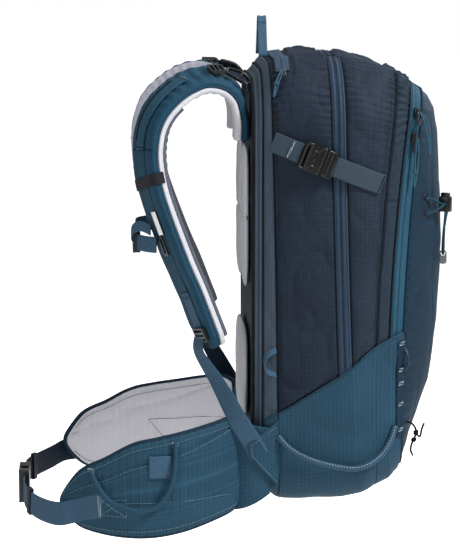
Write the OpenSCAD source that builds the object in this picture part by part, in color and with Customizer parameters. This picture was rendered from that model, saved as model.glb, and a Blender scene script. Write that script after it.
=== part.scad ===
// Ski backpack: soft 30-litre pack with back-access door, shoulder harness and buckled hip belt.
// Axes: X to the wearer's right, Y from the bag toward the wearer, Z up. Origin: inside top of the haul loop.

/* [Bag] */
// Height of the bag from its lowest point to its top, mm
bag_h = 558; // [440:1:680]
// Half of the bag's width at its widest, mm
half_w = 142; // [115:1:175]
// Depth of the bag from the back panel to the front pocket, mm
bag_d = 243; // [200:1:300]
// Thickness of the fabric walls, mm
wall = 1.6; // [1:0.1:3]
// How far the side panels puff out between seams, mm
puff = 4; // [0:0.5:10]

/* [Harness] */
// Width of a shoulder pad, mm
pad_w = 62; // [45:1:80]
// Thickness of a shoulder pad, mm
pad_t = 8; // [5:0.5:14]
// Thickness of the lining under a shoulder pad or fin, mm
lining_t = 2.4; // [1:0.1:4]
// Thickness of the back pads, mm
back_pad_t = 11; // [6:0.5:18]
// Width of the lower shoulder webbing, mm
lower_web_w = 25; // [15:1:30]
// Thickness of a hip fin, mm
fin_t = 9; // [5:0.5:14]

/* [Webbing] */
// Thickness of all webbing, mm
web_t = 1.5; // [1:0.1:2.5]
// Width of the compression webbing, mm
comp_web_w = 25; // [20:1:30]
// Width of the hip webbing, mm
hip_web_w = 30; // [25:1:38]
// Width of the sternum webbing, mm
chest_web_w = 20; // [15:1:25]
// Width of the haul loop webbing, folded double, mm
haul_w = 11; // [8:1:20]

/* [Hardware] */
// Running clearance between a moving piece and its neighbour, mm
slack = 0.35; // [0.2:0.05:0.6]
// Thickness of the compression buckles, mm
comp_buckle_t = 9; // [7:0.5:12]
// Thickness of the hip buckle, mm
hip_buckle_t = 12; // [9:0.5:15]
// Thickness of the sternum buckle, mm
chest_buckle_t = 8; // [6:0.5:11]
// Length of a zip slider, mm
slider_l = 13; // [10:0.5:18]
// Diameter of the elastic cord, mm
bungee_d = 3.2; // [2:0.1:5]
// Diameter of the thin pull cords, mm
cord_d = 2; // [1.5:0.1:3]

/* [Hidden] */
$fn = 48;
gap = 0.35;
hz = bag_h / 558;
hw = half_w / 142;
hd = bag_d / 243;
haul_top = 591 * hz;
haul_y = -5;

// Seam stations from the back edge to the pocket edge:
// depth at top, middle and bottom, half width, top height, bottom height, top and bottom corner radius
rows = [
    [12, 12, 12, 118, 520, 30, 62, 34],
    [1, 1, 1, 124, 531, 20, 66, 36],
    [-8, -14, -18, 131, 544, 1, 72, 42],
    [-80, -86, -96, 141, 550, 3, 80, 48],
    [-97, -103, -113, 142, 549, 7, 80, 48],
    [-163, -142, -137, 134, 527, 17, 66, 44],
    [-181, -159, -155, 127, 518, 24, 52, 42],
    [-198, -178, -173, 112, 507, 38, 46, 38],
];
swell = [0, 0, 1, 0, 1.2, 0, 0];
// Depth of the pocket front down its middle line, as height and depth pairs from the bottom up
crest = [[38, -173], [62, -187], [97, -202], [136, -216], [177, -222.5], [218, -227], [270, -229.5],
    [320, -230.8], [360, -230], [411, -227], [455, -223.5], [481, -218.5], [496, -210], [507, -198]];
t1 = 0.12;
t2 = 0.24;
t3 = 0.86;
t4 = 0.93;
side_v = [for (i = [0 : 8]) t2 + (t3 - t2) * i / 8];
half_v = concat([0.002, 0.06, t1, 0.16, 0.2], side_v, [0.883, 0.906, t4, 0.965, 0.999]);
function lerp(a, b, t) = a + (b - a) * t;
function seq(a, b, n) = [for (i = [0 : n]) lerp(a, b, i / n)];
function turn(list) = [for (i = [len(list) - 1 : -1 : 0]) list[i]];
// Both halves of a ring's samples down to vEnd
function ring_v(v_end) = let(h = concat([for (v = half_v) if (v < v_end - 0.01) v], [v_end]))
    concat([for (v = turn(h)) -v], h);
function row(s) = let(i = max(0, min(floor(s), len(rows) - 2)), f = s - i)
    [for (c = [0 : 7]) lerp(rows[i][c], rows[i + 1][c], f)];
function bulge(s) = let(i = max(0, min(floor(s), 6)), f = s - i) puff * swell[i] * 4 * f * (1 - f);
function depth_at(q, z) = let(c = max(10, min(545, z)))
    q[0] * (c - 300) * (c - 60) / (220 * 460) + q[1] * (c - 520) * (c - 60) / (-220 * 240)
    + q[2] * (c - 520) * (c - 300) / (-460 * -240);
// Point of the bag's surface at station s and ring position v (0 top middle, 1 bottom middle, minus is left)
function raw(s, v) = let(
    q = row(s), b = bulge(s), a = abs(v), sg = v < 0 ? -1 : 1,
    w = q[3] + b, zt = q[4] + b * 0.6, zb = q[5] - b, rt = q[6], rb = q[7],
    x = a < t1 ? (w - rt) * a / t1
        : a < t2 ? w - rt + rt * sin(90 * (a - t1) / (t2 - t1))
        : a < t3 ? w
        : a < t4 ? w - rb + rb * cos(90 * (a - t3) / (t4 - t3))
        : (w - rb) * (1 - a) / (1 - t4),
    z = a < t1 ? zt
        : a < t2 ? zt - rt * (1 - cos(90 * (a - t1) / (t2 - t1)))
        : a < t3 ? lerp(zt - rt, zb + rb, (a - t2) / (t3 - t2))
        : a < t4 ? zb + rb - rb * sin(90 * (a - t3) / (t4 - t3))
        : zb)
    [sg * x, depth_at(q, z), z];
function unit(a) = a / norm(a);
function outward(s, v) = let(
    ds = 0.03, dv = 0.006,
    a = raw(min(7, s + ds), v) - raw(max(0, s - ds), v),
    b = raw(s, min(0.9995, v + dv)) - raw(s, max(-0.9995, v - dv)))
    unit(cross(a, b));
function size_up(p) = [p[0] * hw, p[1] * hd, p[2] * hz];
function skin(s, v, o) = size_up(raw(s, v)) + o * outward(s, v);
// Ring position of a height on the straight part of a side
function v_of(s, z) = let(q = row(s), b = bulge(s), za = q[4] + b * 0.6 - q[6], zc = q[5] - b + q[7])
    t2 + (t3 - t2) * (za - z) / (za - zc);

function flat(g) = [for (r = g) for (p = r) p];
// Closed solid between two grids of points
module slab(a, b) {
    n = len(a);
    m = len(a[0]);
    k = n * m;
    up = cross(a[0][1] - a[0][0], a[1][0] - a[0][0]) * (a[0][0] - b[0][0]) > 0;
    function fix(f, swap) = (up != swap) ? [f[0], f[1], f[2]] : [f[0], f[2], f[1]];
    top = [for (i = [0 : n - 2]) for (j = [0 : m - 2]) let(p = i * m + j)
        each [[p, p + m, p + 1], [p + 1, p + m, p + m + 1]]];
    low = [for (i = [0 : n - 2]) for (j = [0 : m - 2]) let(p = k + i * m + j)
        each [[p, p + 1, p + m], [p + 1, p + m + 1, p + m]]];
    rim = concat([for (j = [0 : m - 2]) j], [for (i = [0 : n - 2]) i * m + m - 1],
        [for (j = [m - 1 : -1 : 1]) (n - 1) * m + j], [for (i = [n - 1 : -1 : 1]) i * m]);
    edge = [for (i = [0 : len(rim) - 1]) let(p = rim[i], q = rim[(i + 1) % len(rim)])
        each [[p, q, p + k], [q, q + k, p + k]]];
    polyhedron(concat(flat(a), flat(b)), [for (f = concat(top, low, edge)) fix(f, false)], convexity = 8);
}
// Fabric panel between seam stations, its rim set by the ring samples
module panel(s_list, v_list, lo, hi) {
    slab([for (s = s_list) [for (v = v_list) skin(s, v, hi)]],
        [for (s = s_list) [for (v = v_list) skin(s, v, lo)]]);
}
function crest_y(z) = lookup(z, crest);
// Point of the pocket front, t from -1 at the left edge to 1 at the right
function front_pt(t, v, o) = let(p = raw(7, v), e = 1 - pow(abs(t), 2.6),
    y = p[1] + (crest_y(p[2]) - p[1]) * e)
    size_up([abs(p[0]) * t, y, p[2]]) + [0, -o, 0];
// Direction frames along a path: tangent, then the width direction rolled away from X
function tangent(path, i) = unit(path[min(i + 1, len(path) - 1)] - path[max(i - 1, 0)]);
function side_dir(t, roll) = let(n = unit(cross([1, 0, 0], t)), w = cross(t, n)) cos(roll) * w + sin(roll) * n;
// Flat strap along a path, lo to hi off its centre line
module strap(path, rolls, w, lo, hi) {
    function edge_pt(i, k, o) = let(t = tangent(path, i), d = side_dir(t, rolls[i]), n = cross(d, t))
        path[i] + d * k + n * o;
    half = is_list(w) ? w : [for (p = path) w / 2];
    slab([for (i = [0 : len(path) - 1]) [for (k = [-1, -0.8, 0, 0.8, 1])
            edge_pt(i, k * half[i], abs(k) == 1 ? lerp(lo, hi, 0.65) : hi)]],
        [for (i = [0 : len(path) - 1]) [for (k = [-1, -0.8, 0, 0.8, 1])
            edge_pt(i, k * half[i], abs(k) == 1 ? lerp(lo, hi, 0.35) : lo)]]);
}
// Round cord or rolled webbing along a path
module cord(path, d, sides) {
    n = len(path);
    rings = [for (i = [0 : n - 1]) let(t = tangent(path, i), u = unit(cross(t, [0.31, 0.17, 0.93])), w = cross(t, u))
        for (j = [0 : sides - 1]) path[i] + d / 2 * (cos(360 * j / sides) * u + sin(360 * j / sides) * w)];
    polyhedron(rings, concat(
        [[for (j = [0 : sides - 1]) j]],
        [for (i = [0 : n - 2]) for (j = [0 : sides - 1]) let(a = i * sides + j, b = i * sides + (j + 1) % sides)
            each [[a, a + sides, b], [b, a + sides, b + sides]]],
        [[for (j = [sides - 1 : -1 : 0]) (n - 1) * sides + j]]), convexity = 6);
}
module hang() translate([0, -haul_y, -haul_top]) children();
module both() {
    children();
    mirror([1, 0, 0]) children();
}
// Flat strap whose width runs along given directions
module band(path, dirs, half, lo, hi) {
    function side(i, k, o) = let(t = tangent(path, i), d = dirs[i], n = unit(cross(d, t)))
        path[i] + d * k * half[i] + n * o;
    slab([for (i = [0 : len(path) - 1]) [for (k = [-1, -0.86, 0.86, 1]) side(i, k, abs(k) == 1 ? lerp(lo, hi, 0.7) : hi)]],
        [for (i = [0 : len(path) - 1]) [for (k = [-1, -0.86, 0.86, 1]) side(i, k, abs(k) == 1 ? lerp(lo, hi, 0.3) : lo)]]);
}
module upright(path, w, lo, hi) band(path, [for (p = path) [0, 0, 1]], [for (p = path) w / 2], lo, hi);
function left(s, z, o) = skin(s, -v_of(s, z), o);
module frame_at(p, e1, e2, e3) multmatrix([[e1[0], e2[0], e3[0], p[0]], [e1[1], e2[1], e3[1], p[1]],
    [e1[2], e2[2], e3[2], p[2]], [0, 0, 0, 1]]) children();
// Stands a piece on the skin, its X up along the zip and its Z outward
module on_skin(s, v, o) {
    e3 = outward(s, v);
    up = unit(skin(s, v * 0.995, 0) - skin(s, v * 1.005, 0));
    e2 = unit(cross(e3, up));
    frame_at(skin(s, v, o), cross(e2, e3), e2, e3) children();
}
module rounded(l, w, t, r) linear_extrude(t) {
    square([l - 2 * r, w], center = true);
    square([l, w - 2 * r], center = true);
    for (x = [-1, 1]) for (y = [-1, 1]) translate([x * (l / 2 - r), y * (w / 2 - r)]) circle(r);
}

// Bag
plate_y = 12 * hd + gap;
module ring_plate(grow, y, t) translate([0, y + t, 0]) rotate([90, 0, 0]) linear_extrude(t)
    polygon([for (v = ring_v(0.999)) let(p = size_up(raw(0, v)), c = [0, 275 * hz])
        [p[0] * (1 + grow / 118), c[1] + (p[2] - c[1]) * (1 + grow / 245)]]);
module back_panel() color("#1d2a38") hang() ring_plate(1.5, plate_y, 4);
module frame_sheet() color("#d8d8d0") hang() translate([0, 12 * hd, 275 * hz]) rotate([90, 0, 0])
    rounded(205 * hw, 430 * hz, 2, 24);
module stays() color("#a8acb0") hang() both() translate([58 * hw, 12 * hd - 2 - gap, 275 * hz])
    rotate([90, 0, 0]) rounded(13, 396 * hz, 3, 4);
module rear_zip() color("#3f5672") hang() panel([0.1, 0.5, 0.97], ring_v(0.86), -wall, 0);
module rear_gusset() color("#2c3848") hang() panel([1.03, 2, 2.1, 2.35, 2.65, 2.995], ring_v(0.999), -wall, 0);
module main_zip() color("#3f5672") hang() panel([3.02, 3.98], ring_v(0.74), -wall, 0);
module front_gusset() color("#27333f") hang() panel([4.006, 4.35, 4.7, 5, 5.985], ring_v(0.999), -wall, 0);
module pocket_zip() color("#3a7388") hang() panel([6.02, 6.975], ring_v(0.8), -wall, 0);
module top_zip() color("#3f5672") hang() panel([2.1, 2.35], ring_v(0.16), gap, 1.2);
cap_v = concat([0.148, 0.17, 0.2], side_v, [0.883, 0.906, t4]);
module pocket_front() color("#1f3f55") hang() {
    across = [-0.973, -0.95, -0.86, -0.7, -0.5, -0.25, 0, 0.25, 0.5, 0.7, 0.86, 0.95, 0.973];
    slab([for (v = cap_v) [for (t = across) front_pt(t, v, 0)]],
        [for (v = cap_v) [for (t = across) front_pt(t, v, -2)]]);
}
function inner_pt(t, v, o) = let(p = skin(5.9, v, -wall - gap - 0.5)) [abs(p[0]) * t, p[1] + o, p[2]];
module divider() color("#39414c") hang() slab(
    [for (v = cap_v) [for (t = [-1, -0.5, 0, 0.5, 1]) inner_pt(t, v, 0)]],
    [for (v = cap_v) [for (t = [-1, -0.5, 0, 0.5, 1]) inner_pt(t, v, 1.4)]]);
// Height of the diagonal seam at each station
boot_seam = [[2.02, 115], [2.1, 119], [2.35, 131], [2.65, 145], [3, 161], [4, 173], [4.35, 182],
    [4.7, 191], [5, 198], [6, 206], [6.98, 212]];
module boot() color("#2b566b") hang() {
    cols = [for (c = boot_seam) let(va = v_of(c[0], c[1]))
        concat([for (f = seq(va, t3, 3)) -f], [-0.883, -0.906, -t4, -0.965, -0.999],
            [0.999, 0.965, t4, 0.906, 0.883], [for (f = turn(seq(va, t3, 3))) f])];
    slab([for (i = [0 : len(cols) - 1]) [for (v = cols[i]) skin(boot_seam[i][0], v, gap + wall)]],
        [for (i = [0 : len(cols) - 1]) [for (v = cols[i]) skin(boot_seam[i][0], v, gap)]]);
}
module pad(x0, x1, z0, z1, r, t) translate([(x0 + x1) / 2 * hw, plate_y + 4 + gap + t, (z0 + z1) / 2 * hz])
    rotate([90, 0, 0]) rounded((x1 - x0) * hw, (z1 - z0) * hz, t, r);
module upper_pads() color("#c4c3cc") hang() both() pad(18, 84, 262, 438, 18, back_pad_t);
module lumbar_pad() color("#c4c3cc") hang() pad(-84, 84, 90, 208, 26, back_pad_t + 2);
// Loop of doubled webbing standing on the top seam
loop_t = 3;
module haul_loop() color("#2f5a78") hang() {
    foot = 28;
    crown = 9;
    base = 544.6 * hz;
    outer = concat([[-foot - loop_t, base]],
        [for (a = [180 : -15 : 0]) [(crown + loop_t) * cos(a), haul_top - crown + (crown + loop_t) * sin(a)]],
        [[foot + loop_t, base]]);
    inner = concat([[foot, base]],
        [for (a = [0 : 15 : 180]) [crown * cos(a), haul_top - crown + crown * sin(a)]], [[-foot, base]]);
    translate([0, haul_y + haul_w / 2, 0]) rotate([90, 0, 0]) linear_extrude(haul_w) polygon(concat(outer, inner));
}

// Harness, left side; the right side mirrors it
pad_path = [for (p = [[-68, 25, 447], [-69, 25, 472], [-71, 31, 498], [-74, 46, 514], [-79, 68, 520],
    [-84, 90, 514], [-89, 110, 501], [-93, 126, 484], [-96, 136, 463], [-99, 140, 436], [-102, 138, 409],
    [-104, 133, 385], [-106, 124, 357], [-109, 113, 327], [-112, 101, 296], [-115, 88, 266], [-118, 76, 235],
    [-120, 66, 211], [-120, 60, 198]]) size_up(p)];
pad_roll = [0, 0, 3, 8, 14, 18, 20, 22, 22, 22, 22, 22, 22, 22, 22, 22, 22, 22, 22];
pad_half = [for (i = [0 : 18]) pad_w / 2 * (i == 0 ? 0.8 : i == 17 ? 0.9 : i == 18 ? 0.5 : 1)];
function some(list, a, b) = [for (i = [a : b]) list[i]];
module pad_left() strap(pad_path, pad_roll, pad_half, 0, pad_t);
module strap_l() color("#2f5a6b") hang() pad_left();
module strap_r() color("#2f5a6b") hang() mirror([1, 0, 0]) pad_left();
module linings() color("#c9c8d0") hang() both()
    strap(pad_path, pad_roll, [for (h = pad_half) h + 1], -gap - lining_t, -gap);
// Stands a piece on the outer face of the left pad: X across, Y down the pad, Z outward
module on_pad(i, across, along, o) {
    t = tangent(pad_path, i);
    d = side_dir(t, pad_roll[i]);
    n = cross(d, t);
    frame_at(pad_path[i] + n * (pad_t + o) + d * across + t * along, d, t, n) children();
}
module sleeve(l, w, t, wall_t) difference() {
    translate([-w / 2 - wall_t, -l / 2, -t / 2 - wall_t]) cube([w + 2 * wall_t, l, t + 2 * wall_t]);
    translate([-w / 2, -l, -t / 2]) cube([w, 2 * l, t]);
}
module strap_keepers() color("#2a2428") hang() both() on_pad(10, 0, 12, -pad_t / 2 - lining_t / 2)
    sleeve(14, pad_w + 4, pad_t + lining_t + 3 * gap + 4.4, 1.2);
module tube_strip() color("#3d5f73") hang()
    strap(some(pad_path, 5, 8), some(pad_roll, 5, 8), 20, pad_t + gap, pad_t + gap + 1.8);
module label() color("#e6e4de") hang() on_pad(12, 0, 6, gap) rounded(13, 26, 0.9, 2);
module ladder_lock(w) difference() {
    rounded(w + 8, 19, 4.4, 3);
    for (y = [-5.6, 0.2, 5.6]) translate([-w / 2, y - 1.5, -1]) cube([w, 3, 7]);
}
lock_i = 17;
module ladder_at() on_pad(lock_i, -6, -5, 2.2) children();
module ladder_locks() color("#17181b") hang() both() ladder_at() ladder_lock(lower_web_w);
lower_path = [for (p = [[-124, 82, 190], [-127, 71, 176], [-131, 58, 156], [-139, 43, 129], [-143.2, 30, 105],
    [-140.6, 18, 84], [-139.6, 6, 63]]) size_up(p)];
lower_roll = [28, 36, 46, 62, 74, 80, 84];
module lower_webs() color("#4a6074") hang() both() {
    strap(lower_path, lower_roll, lower_web_w, -web_t / 2, web_t / 2);
    strap(some(pad_path, 15, 17), some(pad_roll, 15, 17), lower_web_w - 2, pad_t + gap, pad_t + gap + web_t);
}
module wings() color("#2b566b") hang() both() translate([-137.6 * hw, 0, 0]) rotate([90, 0, 90])
    linear_extrude(2) polygon([[19 * hd, 77 * hz], [-17 * hd, 104 * hz], [-19 * hd, 60 * hz], [-18 * hd, 24 * hz],
        [17 * hd, 63 * hz]]);
lift_path = [for (p = [[-84, 18.4, 497], [-84, 18.6, 507], [-83, 27, 518], [-81, 41, 528]]) size_up(p)];
module lifter_webs() color("#22303f") hang() both() strap(lift_path, [0, 0, 2, 6], 20, -web_t / 2, web_t / 2);
module lifter_at() on_pad(4, -2, -12, 3) children();
module lifter_locks() color("#17181b") hang() both() lifter_at() ladder_lock(20);

// Side-release buckle along X: socket from 0 to l, the plug's arms inside it
module socket(l, w, t, web) difference() {
    translate([l / 2, 0, -t / 2]) rounded(l, w, t, 3);
    translate([9, -w / 2 + 1.8, -t / 2 + 1.5]) cube([l, w - 3.6, t - 3]);
    for (y = [-1, 1]) translate([13, y * (w / 2 - 1.6) - 2.6, -t / 2 + 1.5]) cube([l - 20, 5.2, t - 3]);
    translate([3, -web / 2 - 0.5, -t]) cube([3, web + 1, 2 * t]);
}
module plug(l, w, t, web, base) {
    difference() {
        translate([l + 0.4 + base / 2, 0, -t / 2]) rounded(base, w, t, 3);
        translate([l - 1, -web / 2 - 0.5, -1.3]) cube([base + 4, web + 1, 2.6]);
    }
    arm = (w - web) / 2 - 1.8 - 2 * slack;
    for (y = [-1, 1]) translate([10.5, y * (w / 2 - 1.8 - slack - arm / 2) - arm / 2, -t / 2 + 1.5 + slack])
        cube([l - 8, arm, t - 3 - 2 * slack]);
    translate([14, -2.5, -t / 2 + 1.5 + slack]) cube([l - 10, 5, 1]);
}
comp_tilt = 21.6;
comp_l = 28;
comp_base = 14;
module comp_at() translate(size_up([-148.5, -44, 435.5])) rotate([comp_tilt, 0, 0]) rotate([0, -90, 0])
    rotate([0, 0, -90]) children();
module comp_females() color("#17181b") hang() both() comp_at()
    socket(comp_l, comp_web_w + 9, comp_buckle_t, comp_web_w);
module comp_male_l() color("#1c1d20") hang() comp_at()
    plug(comp_l, comp_web_w + 9, comp_buckle_t, comp_web_w, comp_base);
module comp_male_r() color("#1c1d20") hang() mirror([1, 0, 0]) comp_at()
    plug(comp_l, comp_web_w + 9, comp_buckle_t, comp_web_w, comp_base);
comp_down = [0, -sin(comp_tilt), cos(comp_tilt)];
module comp_webs() color("#3d5f80") hang() both() {
    rear = [for (p = [[-135.5, -10, 449], [-142, -24, 443.4], [-148.5, -43.3, 435.8]]) size_up(p)];
    from = size_up([-148.5, -44, 435.5]);
    front = [for (d = [31, 46, 66, 84, 98, 106]) from + [0, -cos(comp_tilt), -sin(comp_tilt)] * d];
    dirs = [for (i = [0 : 5]) comp_down];
    half = [for (i = [0 : 5]) comp_web_w / 2];
    rise = [0, 0, 0, 2.2, 5.4, 9.2];
    band(rear, dirs, half, -web_t / 2, web_t / 2);
    band([for (i = [0 : 5]) front[i] + [rise[i], 0, 0]], dirs, half, -web_t / 2, web_t / 2);
}

// Sternum strap
chest_y = 153;
chest_z = 320;
chest_x = -74;
chest_l = 26;
chest_base = 12;
module chest_at() translate([chest_x, chest_y * hd, chest_z * hz]) rotate([-90, 0, 0]) children();
module chest_female() color("#17181b") hang() chest_at()
    socket(chest_l, chest_web_w + 8, chest_buckle_t, chest_web_w);
module chest_male() color("#1c1d20") hang() chest_at()
    plug(chest_l, chest_web_w + 8, chest_buckle_t, chest_web_w, chest_base);
function chest_end(sg) = [for (p = [[sg * 82, 150], [sg * 96, 141], [sg * 104, 130]]) [p[0], p[1] * hd, chest_z * hz]];
module chest_web_l() color("#3d5f80") hang()
    upright(concat([[chest_x - 0.4, chest_y * hd, chest_z * hz]], chest_end(-1)), chest_web_w, -web_t / 2, web_t / 2);
module chest_web_r() color("#3d5f80") hang()
    upright(concat([for (x = [chest_x + chest_l + 4, 0, 60]) [x, chest_y * hd, chest_z * hz]], chest_end(1)),
        chest_web_w, -web_t / 2, web_t / 2);
module chest_slides() color("#17181b") hang() both() on_pad(13, 2, 4, gap) difference() {
    rounded(14, 26, 3.2, 2);
    translate([-3, -9, -1]) cube([6, 18, 6]);
}

// Hip belt
fin_cols = [[-88, 26, 104, 14], [-110, 27.2, 106, 6], [-127, 42, 109, -6], [-143, 66, 104, -14], [-155, 98, 97, -23],
    [-162, 130, 91, -28], [-162, 160, 84, -29], [-156, 192, 66, -26], [-145, 222, 49, -19], [-132, 246, 22, -6]];
far_lift = [0, 0, 0, 0, 0, 0, 0, 3, 8, 15];
function fin_row(c) = let(i = min(floor(c), 8), f = c - i) lerp(fin_cols[i], fin_cols[i + 1], f);
function fin_out(c) = let(a = fin_row(max(0, c - 0.5)), b = fin_row(min(9, c + 0.5)))
    unit([-(b[1] - a[1]) * hd, (b[0] - a[0]) * hw, 0]);
function fin_pt(c, z, o) = size_up([fin_row(c)[0], fin_row(c)[1], z]) + o * fin_out(c);
module fin_shape(lo, hi, rise) {
    cols = concat(seq(0, 8.5, 17), [8.8, 9]);
    function grid(o) = [for (c = cols) let(q = fin_row(c), up = rise ? lookup(c, [for (i = [0 : 9]) [i, far_lift[i]]]) : 0)
        [for (k = [0, 0.05, 0.3, 0.6, 0.95, 1]) let(e = k == 0 || k == 1 ? lerp(lo, hi, o == hi ? 0.75 : 0.25) : o)
            fin_pt(c, lerp(q[3], q[2], k) + up, e)]];
    slab(grid(hi), grid(lo));
}
module fin_l() color("#2b566b") hang() fin_shape(0, fin_t, false);
module fin_r() color("#2b566b") hang() mirror([1, 0, 0]) fin_shape(0, fin_t, true);
module fin_linings() color("#c9c8d0") hang() {
    fin_shape(-gap - lining_t, -gap, false);
    mirror([1, 0, 0]) fin_shape(-gap - lining_t, -gap, true);
}
hip_y = 297;
hip_z = 2;
hip_l = 34;
hip_base = 16;
module hip_at() translate([-hip_l - 2, hip_y * hd, hip_z * hz]) rotate([-90, 0, 0]) children();
module hip_female() color("#17181b") hang() hip_at() socket(hip_l, hip_web_w + 12, hip_buckle_t, hip_web_w);
module hip_male() color("#1c1d20") hang() hip_at() plug(hip_l, hip_web_w + 12, hip_buckle_t, hip_web_w, hip_base);
function hip_run(up) = concat(
    [for (k = [[7.1, 9], [7.6, 6], [8.2, 0], [8.8, -5]]) fin_pt(k[0], k[1], fin_t + gap + web_t + (k[0] > 8.5 ? 2.5 : 0))
        + [0, 0, up * lookup(k[0], [[7, 0], [9, 13]])]],
    [for (p = [[-122, 266, -8 + up * 11], [-94, 283, -7 + up * 8], [-66, 294, -3 + up * 4]]) size_up(p)]);
module hip_web_l() color("#1d2e40") hang()
    upright(concat(hip_run(0), [for (x = [-hip_l - 16, -hip_l - 3.2]) [x, hip_y * hd, hip_z * hz]]),
        hip_web_w, -web_t / 2, web_t / 2);
module hip_web_r() color("#101d2e") hang() mirror([1, 0, 0])
    upright(concat(hip_run(1), [for (x = [-44, -4]) [x, hip_y * hd, hip_z * hz]]), hip_web_w, -web_t / 2, web_t / 2);
module hip_keepers() color("#1a1b1e") hang() for (up = [0, 1]) mirror([up, 0, 0]) {
    a = hip_run(up)[5];
    b = hip_run(up)[6];
    translate(lerp(a, b, 0.5)) rotate([0, 0, atan2(b[1] - a[1], b[0] - a[0])])
        rotate([0, -atan2(b[2] - a[2], norm([b[0] - a[0], b[1] - a[1]])), 0]) rotate([90, 90, 0]) rotate([0, 0, 90])
        rotate([0, 0, 90]) sleeve(10, hip_web_w + 2, web_t + 1.4, 1.2);
}
module gear_loop() color("#3a6a80") hang() cord([for (p = [[7.5, 52, 3.3], [7.35, 42, 6], [7.1, 29, 8], [6.8, 18, 9],
    [6.3, 10, 10], [5.7, 6, 10.5], [5.2, 10, 10.5], [4.85, 22, 10], [4.6, 40, 9], [4.5, 58, 7.5], [4.45, 74, 5.5],
    [4.45, 88, 3.3]]) fin_pt(p[0], p[1], fin_t + p[2])], 5.6, 10);

// Loops and strips on the sides
function side_run(list) = [for (p = list) left(p[0], p[1], p[2])];
module ski_loops() color("#2b566b") hang() both() cord(side_run([[2.12, 92, 5.8], [2.2, 80, 7], [2.35, 67, 8.5],
    [2.6, 56, 9.5], [2.95, 50, 9.5], [3.9, 50, 9.5], [4.4, 52, 9.5], [4.9, 58, 9.5], [5.6, 70, 9], [6, 82, 8],
    [6.25, 96, 6]]), 6.6, 10);
module daisy_strips() color("#2f6076") hang() both() {
    panel([6.42, 6.93], [for (z = [196, 160, 124, 88]) -v_of(6.7, z)], gap + wall + gap, gap + wall + gap + 1.3);
    cord([for (p = [[6.9, 190, 5.2], [6.92, 186, 9.5], [6.92, 178, 12], [6.92, 170, 9.5], [6.9, 166, 5.2]])
        left(p[0], p[1], p[2])], 2.8, 8);
    cord([for (p = [[-15, 192], [-7, 190], [-1, 183], [0, 176], [-3, 168], [-9, 165], [-15, 166]])
        size_up([-135.2, p[0], p[1]])], 3.6, 8);
}

// Front cords and their fittings
eye_v = [for (z = [374, 355]) v_of(7, z)];
eye_turn = -41;
module eyelets() color("#8d9298") hang() both() for (v = eye_v) translate(front_pt(-0.85, v, gap + 0.2))
    rotate([0, 0, eye_turn]) rotate([90, 0, 0]) difference() {
        cylinder(h = 1.2, r = 5);
        translate([0, 0, -1]) cylinder(h = 4, r = 2.4);
    }
lock_p = [-72, -229, 365];
module lock_at() translate(size_up(lock_p)) rotate([0, 0, -26]) children();
module cord_lock() color("#17181b") hang() lock_at() difference() {
    translate([0, 0, -10]) rounded(13, 15, 18, 4);
    translate([-3.8, -5.5, -8]) cube([7.6, 11, 18]);
    translate([-10, -3.9, -2.3]) cube([20, 7.8, 4.6]);
}
module lock_button() color("#2c2f33") hang() lock_at() difference() {
    translate([-3.8 + slack, -5.5 + slack, -3.8]) cube([7.6 - 2 * slack, 11 - 2 * slack, 16.8]);
    translate([-10, -3.9, -2.3]) cube([20, 7.8, 8.4]);
}
bungee_pts = [[-96.5, -201.5, 374], [-91, -208.5, 373], [-86, -217, 369], [-80.4, -222.9, 365], [-79.3, -223.4, 365],
    [-63.1, -231.2, 365], [-61, -232, 363], [-58.6, -231.6, 356], [-58, -231, 346], [-58.5, -230, 334],
    [-59, -229.5, 318], [-59, -229.4, 305], [-57.4, -229.4, 300], [-55, -229.4, 299], [-52.6, -229.4, 300],
    [-51, -229.4, 305], [-51.5, -229.8, 318], [-52.2, -231, 334], [-53, -234, 352], [-56.5, -237, 361],
    [-62, -236.1, 364.7], [-64.7, -234.7, 365], [-80.9, -226.8, 365], [-82, -226, 364.5], [-88, -218, 360],
    [-93, -210, 357], [-97.5, -201.5, 355]];
module bungee() color("#2f6f80") hang() cord([for (p = bungee_pts) size_up(p)], bungee_d, 10);
module cord_clip() color("#6d7278") hang() translate(size_up([-55, -229.4, 299.5])) rotate([0, 90, 0])
    translate([0, 0, -1.6]) difference() {
        translate([4.5, 0, 0]) rounded(17, 9, 3.2, 3);
        translate([-0.1, 0, -1]) cylinder(h = 6, r = 3);
    }
knot_pts = [[-105.5, -179, 96], [-104.5, -189, 95], [-103, -202, 89], [-102, -204, 82], [-102, -202, 76], [-102, -196, 74],
    [-101.5, -198, 68], [-101, -203, 62], [-101, -205, 57]];
module knot_cord() color("#15161a") hang() cord([for (p = knot_pts) size_up(p)], cord_d + 0.6, 8);

// Zip sliders: X along the zip, Z away from the bag
module slider(pull) {
    translate([0, 0, slack]) rounded(slider_l, 9, 1.5, 3);
    difference() {
        translate([-3.5, -1.2, slack + 1.4]) cube([7, 2.4, 2.8]);
        translate([0, 2, slack + 2.8]) rotate([90, 0, 0]) cylinder(h = 4, r = 0.8);
    }
    if (pull) difference() {
        translate([-12, 0, slack + 4]) rounded(20, 6, 1.2, 2.8);
        translate([-18.5, 0, slack]) cylinder(h = 9, r = 1.5);
    }
}
top_slot = [2.22, -0.176];
a_slot = [6.5, -0.212];
b_slot = [6.5, -v_of(6.5, 452)];
main_slot = [3.5, v_of(3.5, 205)];
back_slot = [0.5, v_of(0.5, 130)];
module slider_top() color("#2b2f35") hang() on_skin(top_slot[0], top_slot[1], 1.2) slider(false);
module slider_pocket_a() color("#2b2f35") hang() on_skin(a_slot[0], a_slot[1], 0) slider(false);
module slider_pocket_b() color("#2b2f35") hang() on_skin(b_slot[0], b_slot[1], 0) slider(false);
module slider_main() color("#2b2f35") hang() on_skin(main_slot[0], main_slot[1], 0) slider(true);
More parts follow.
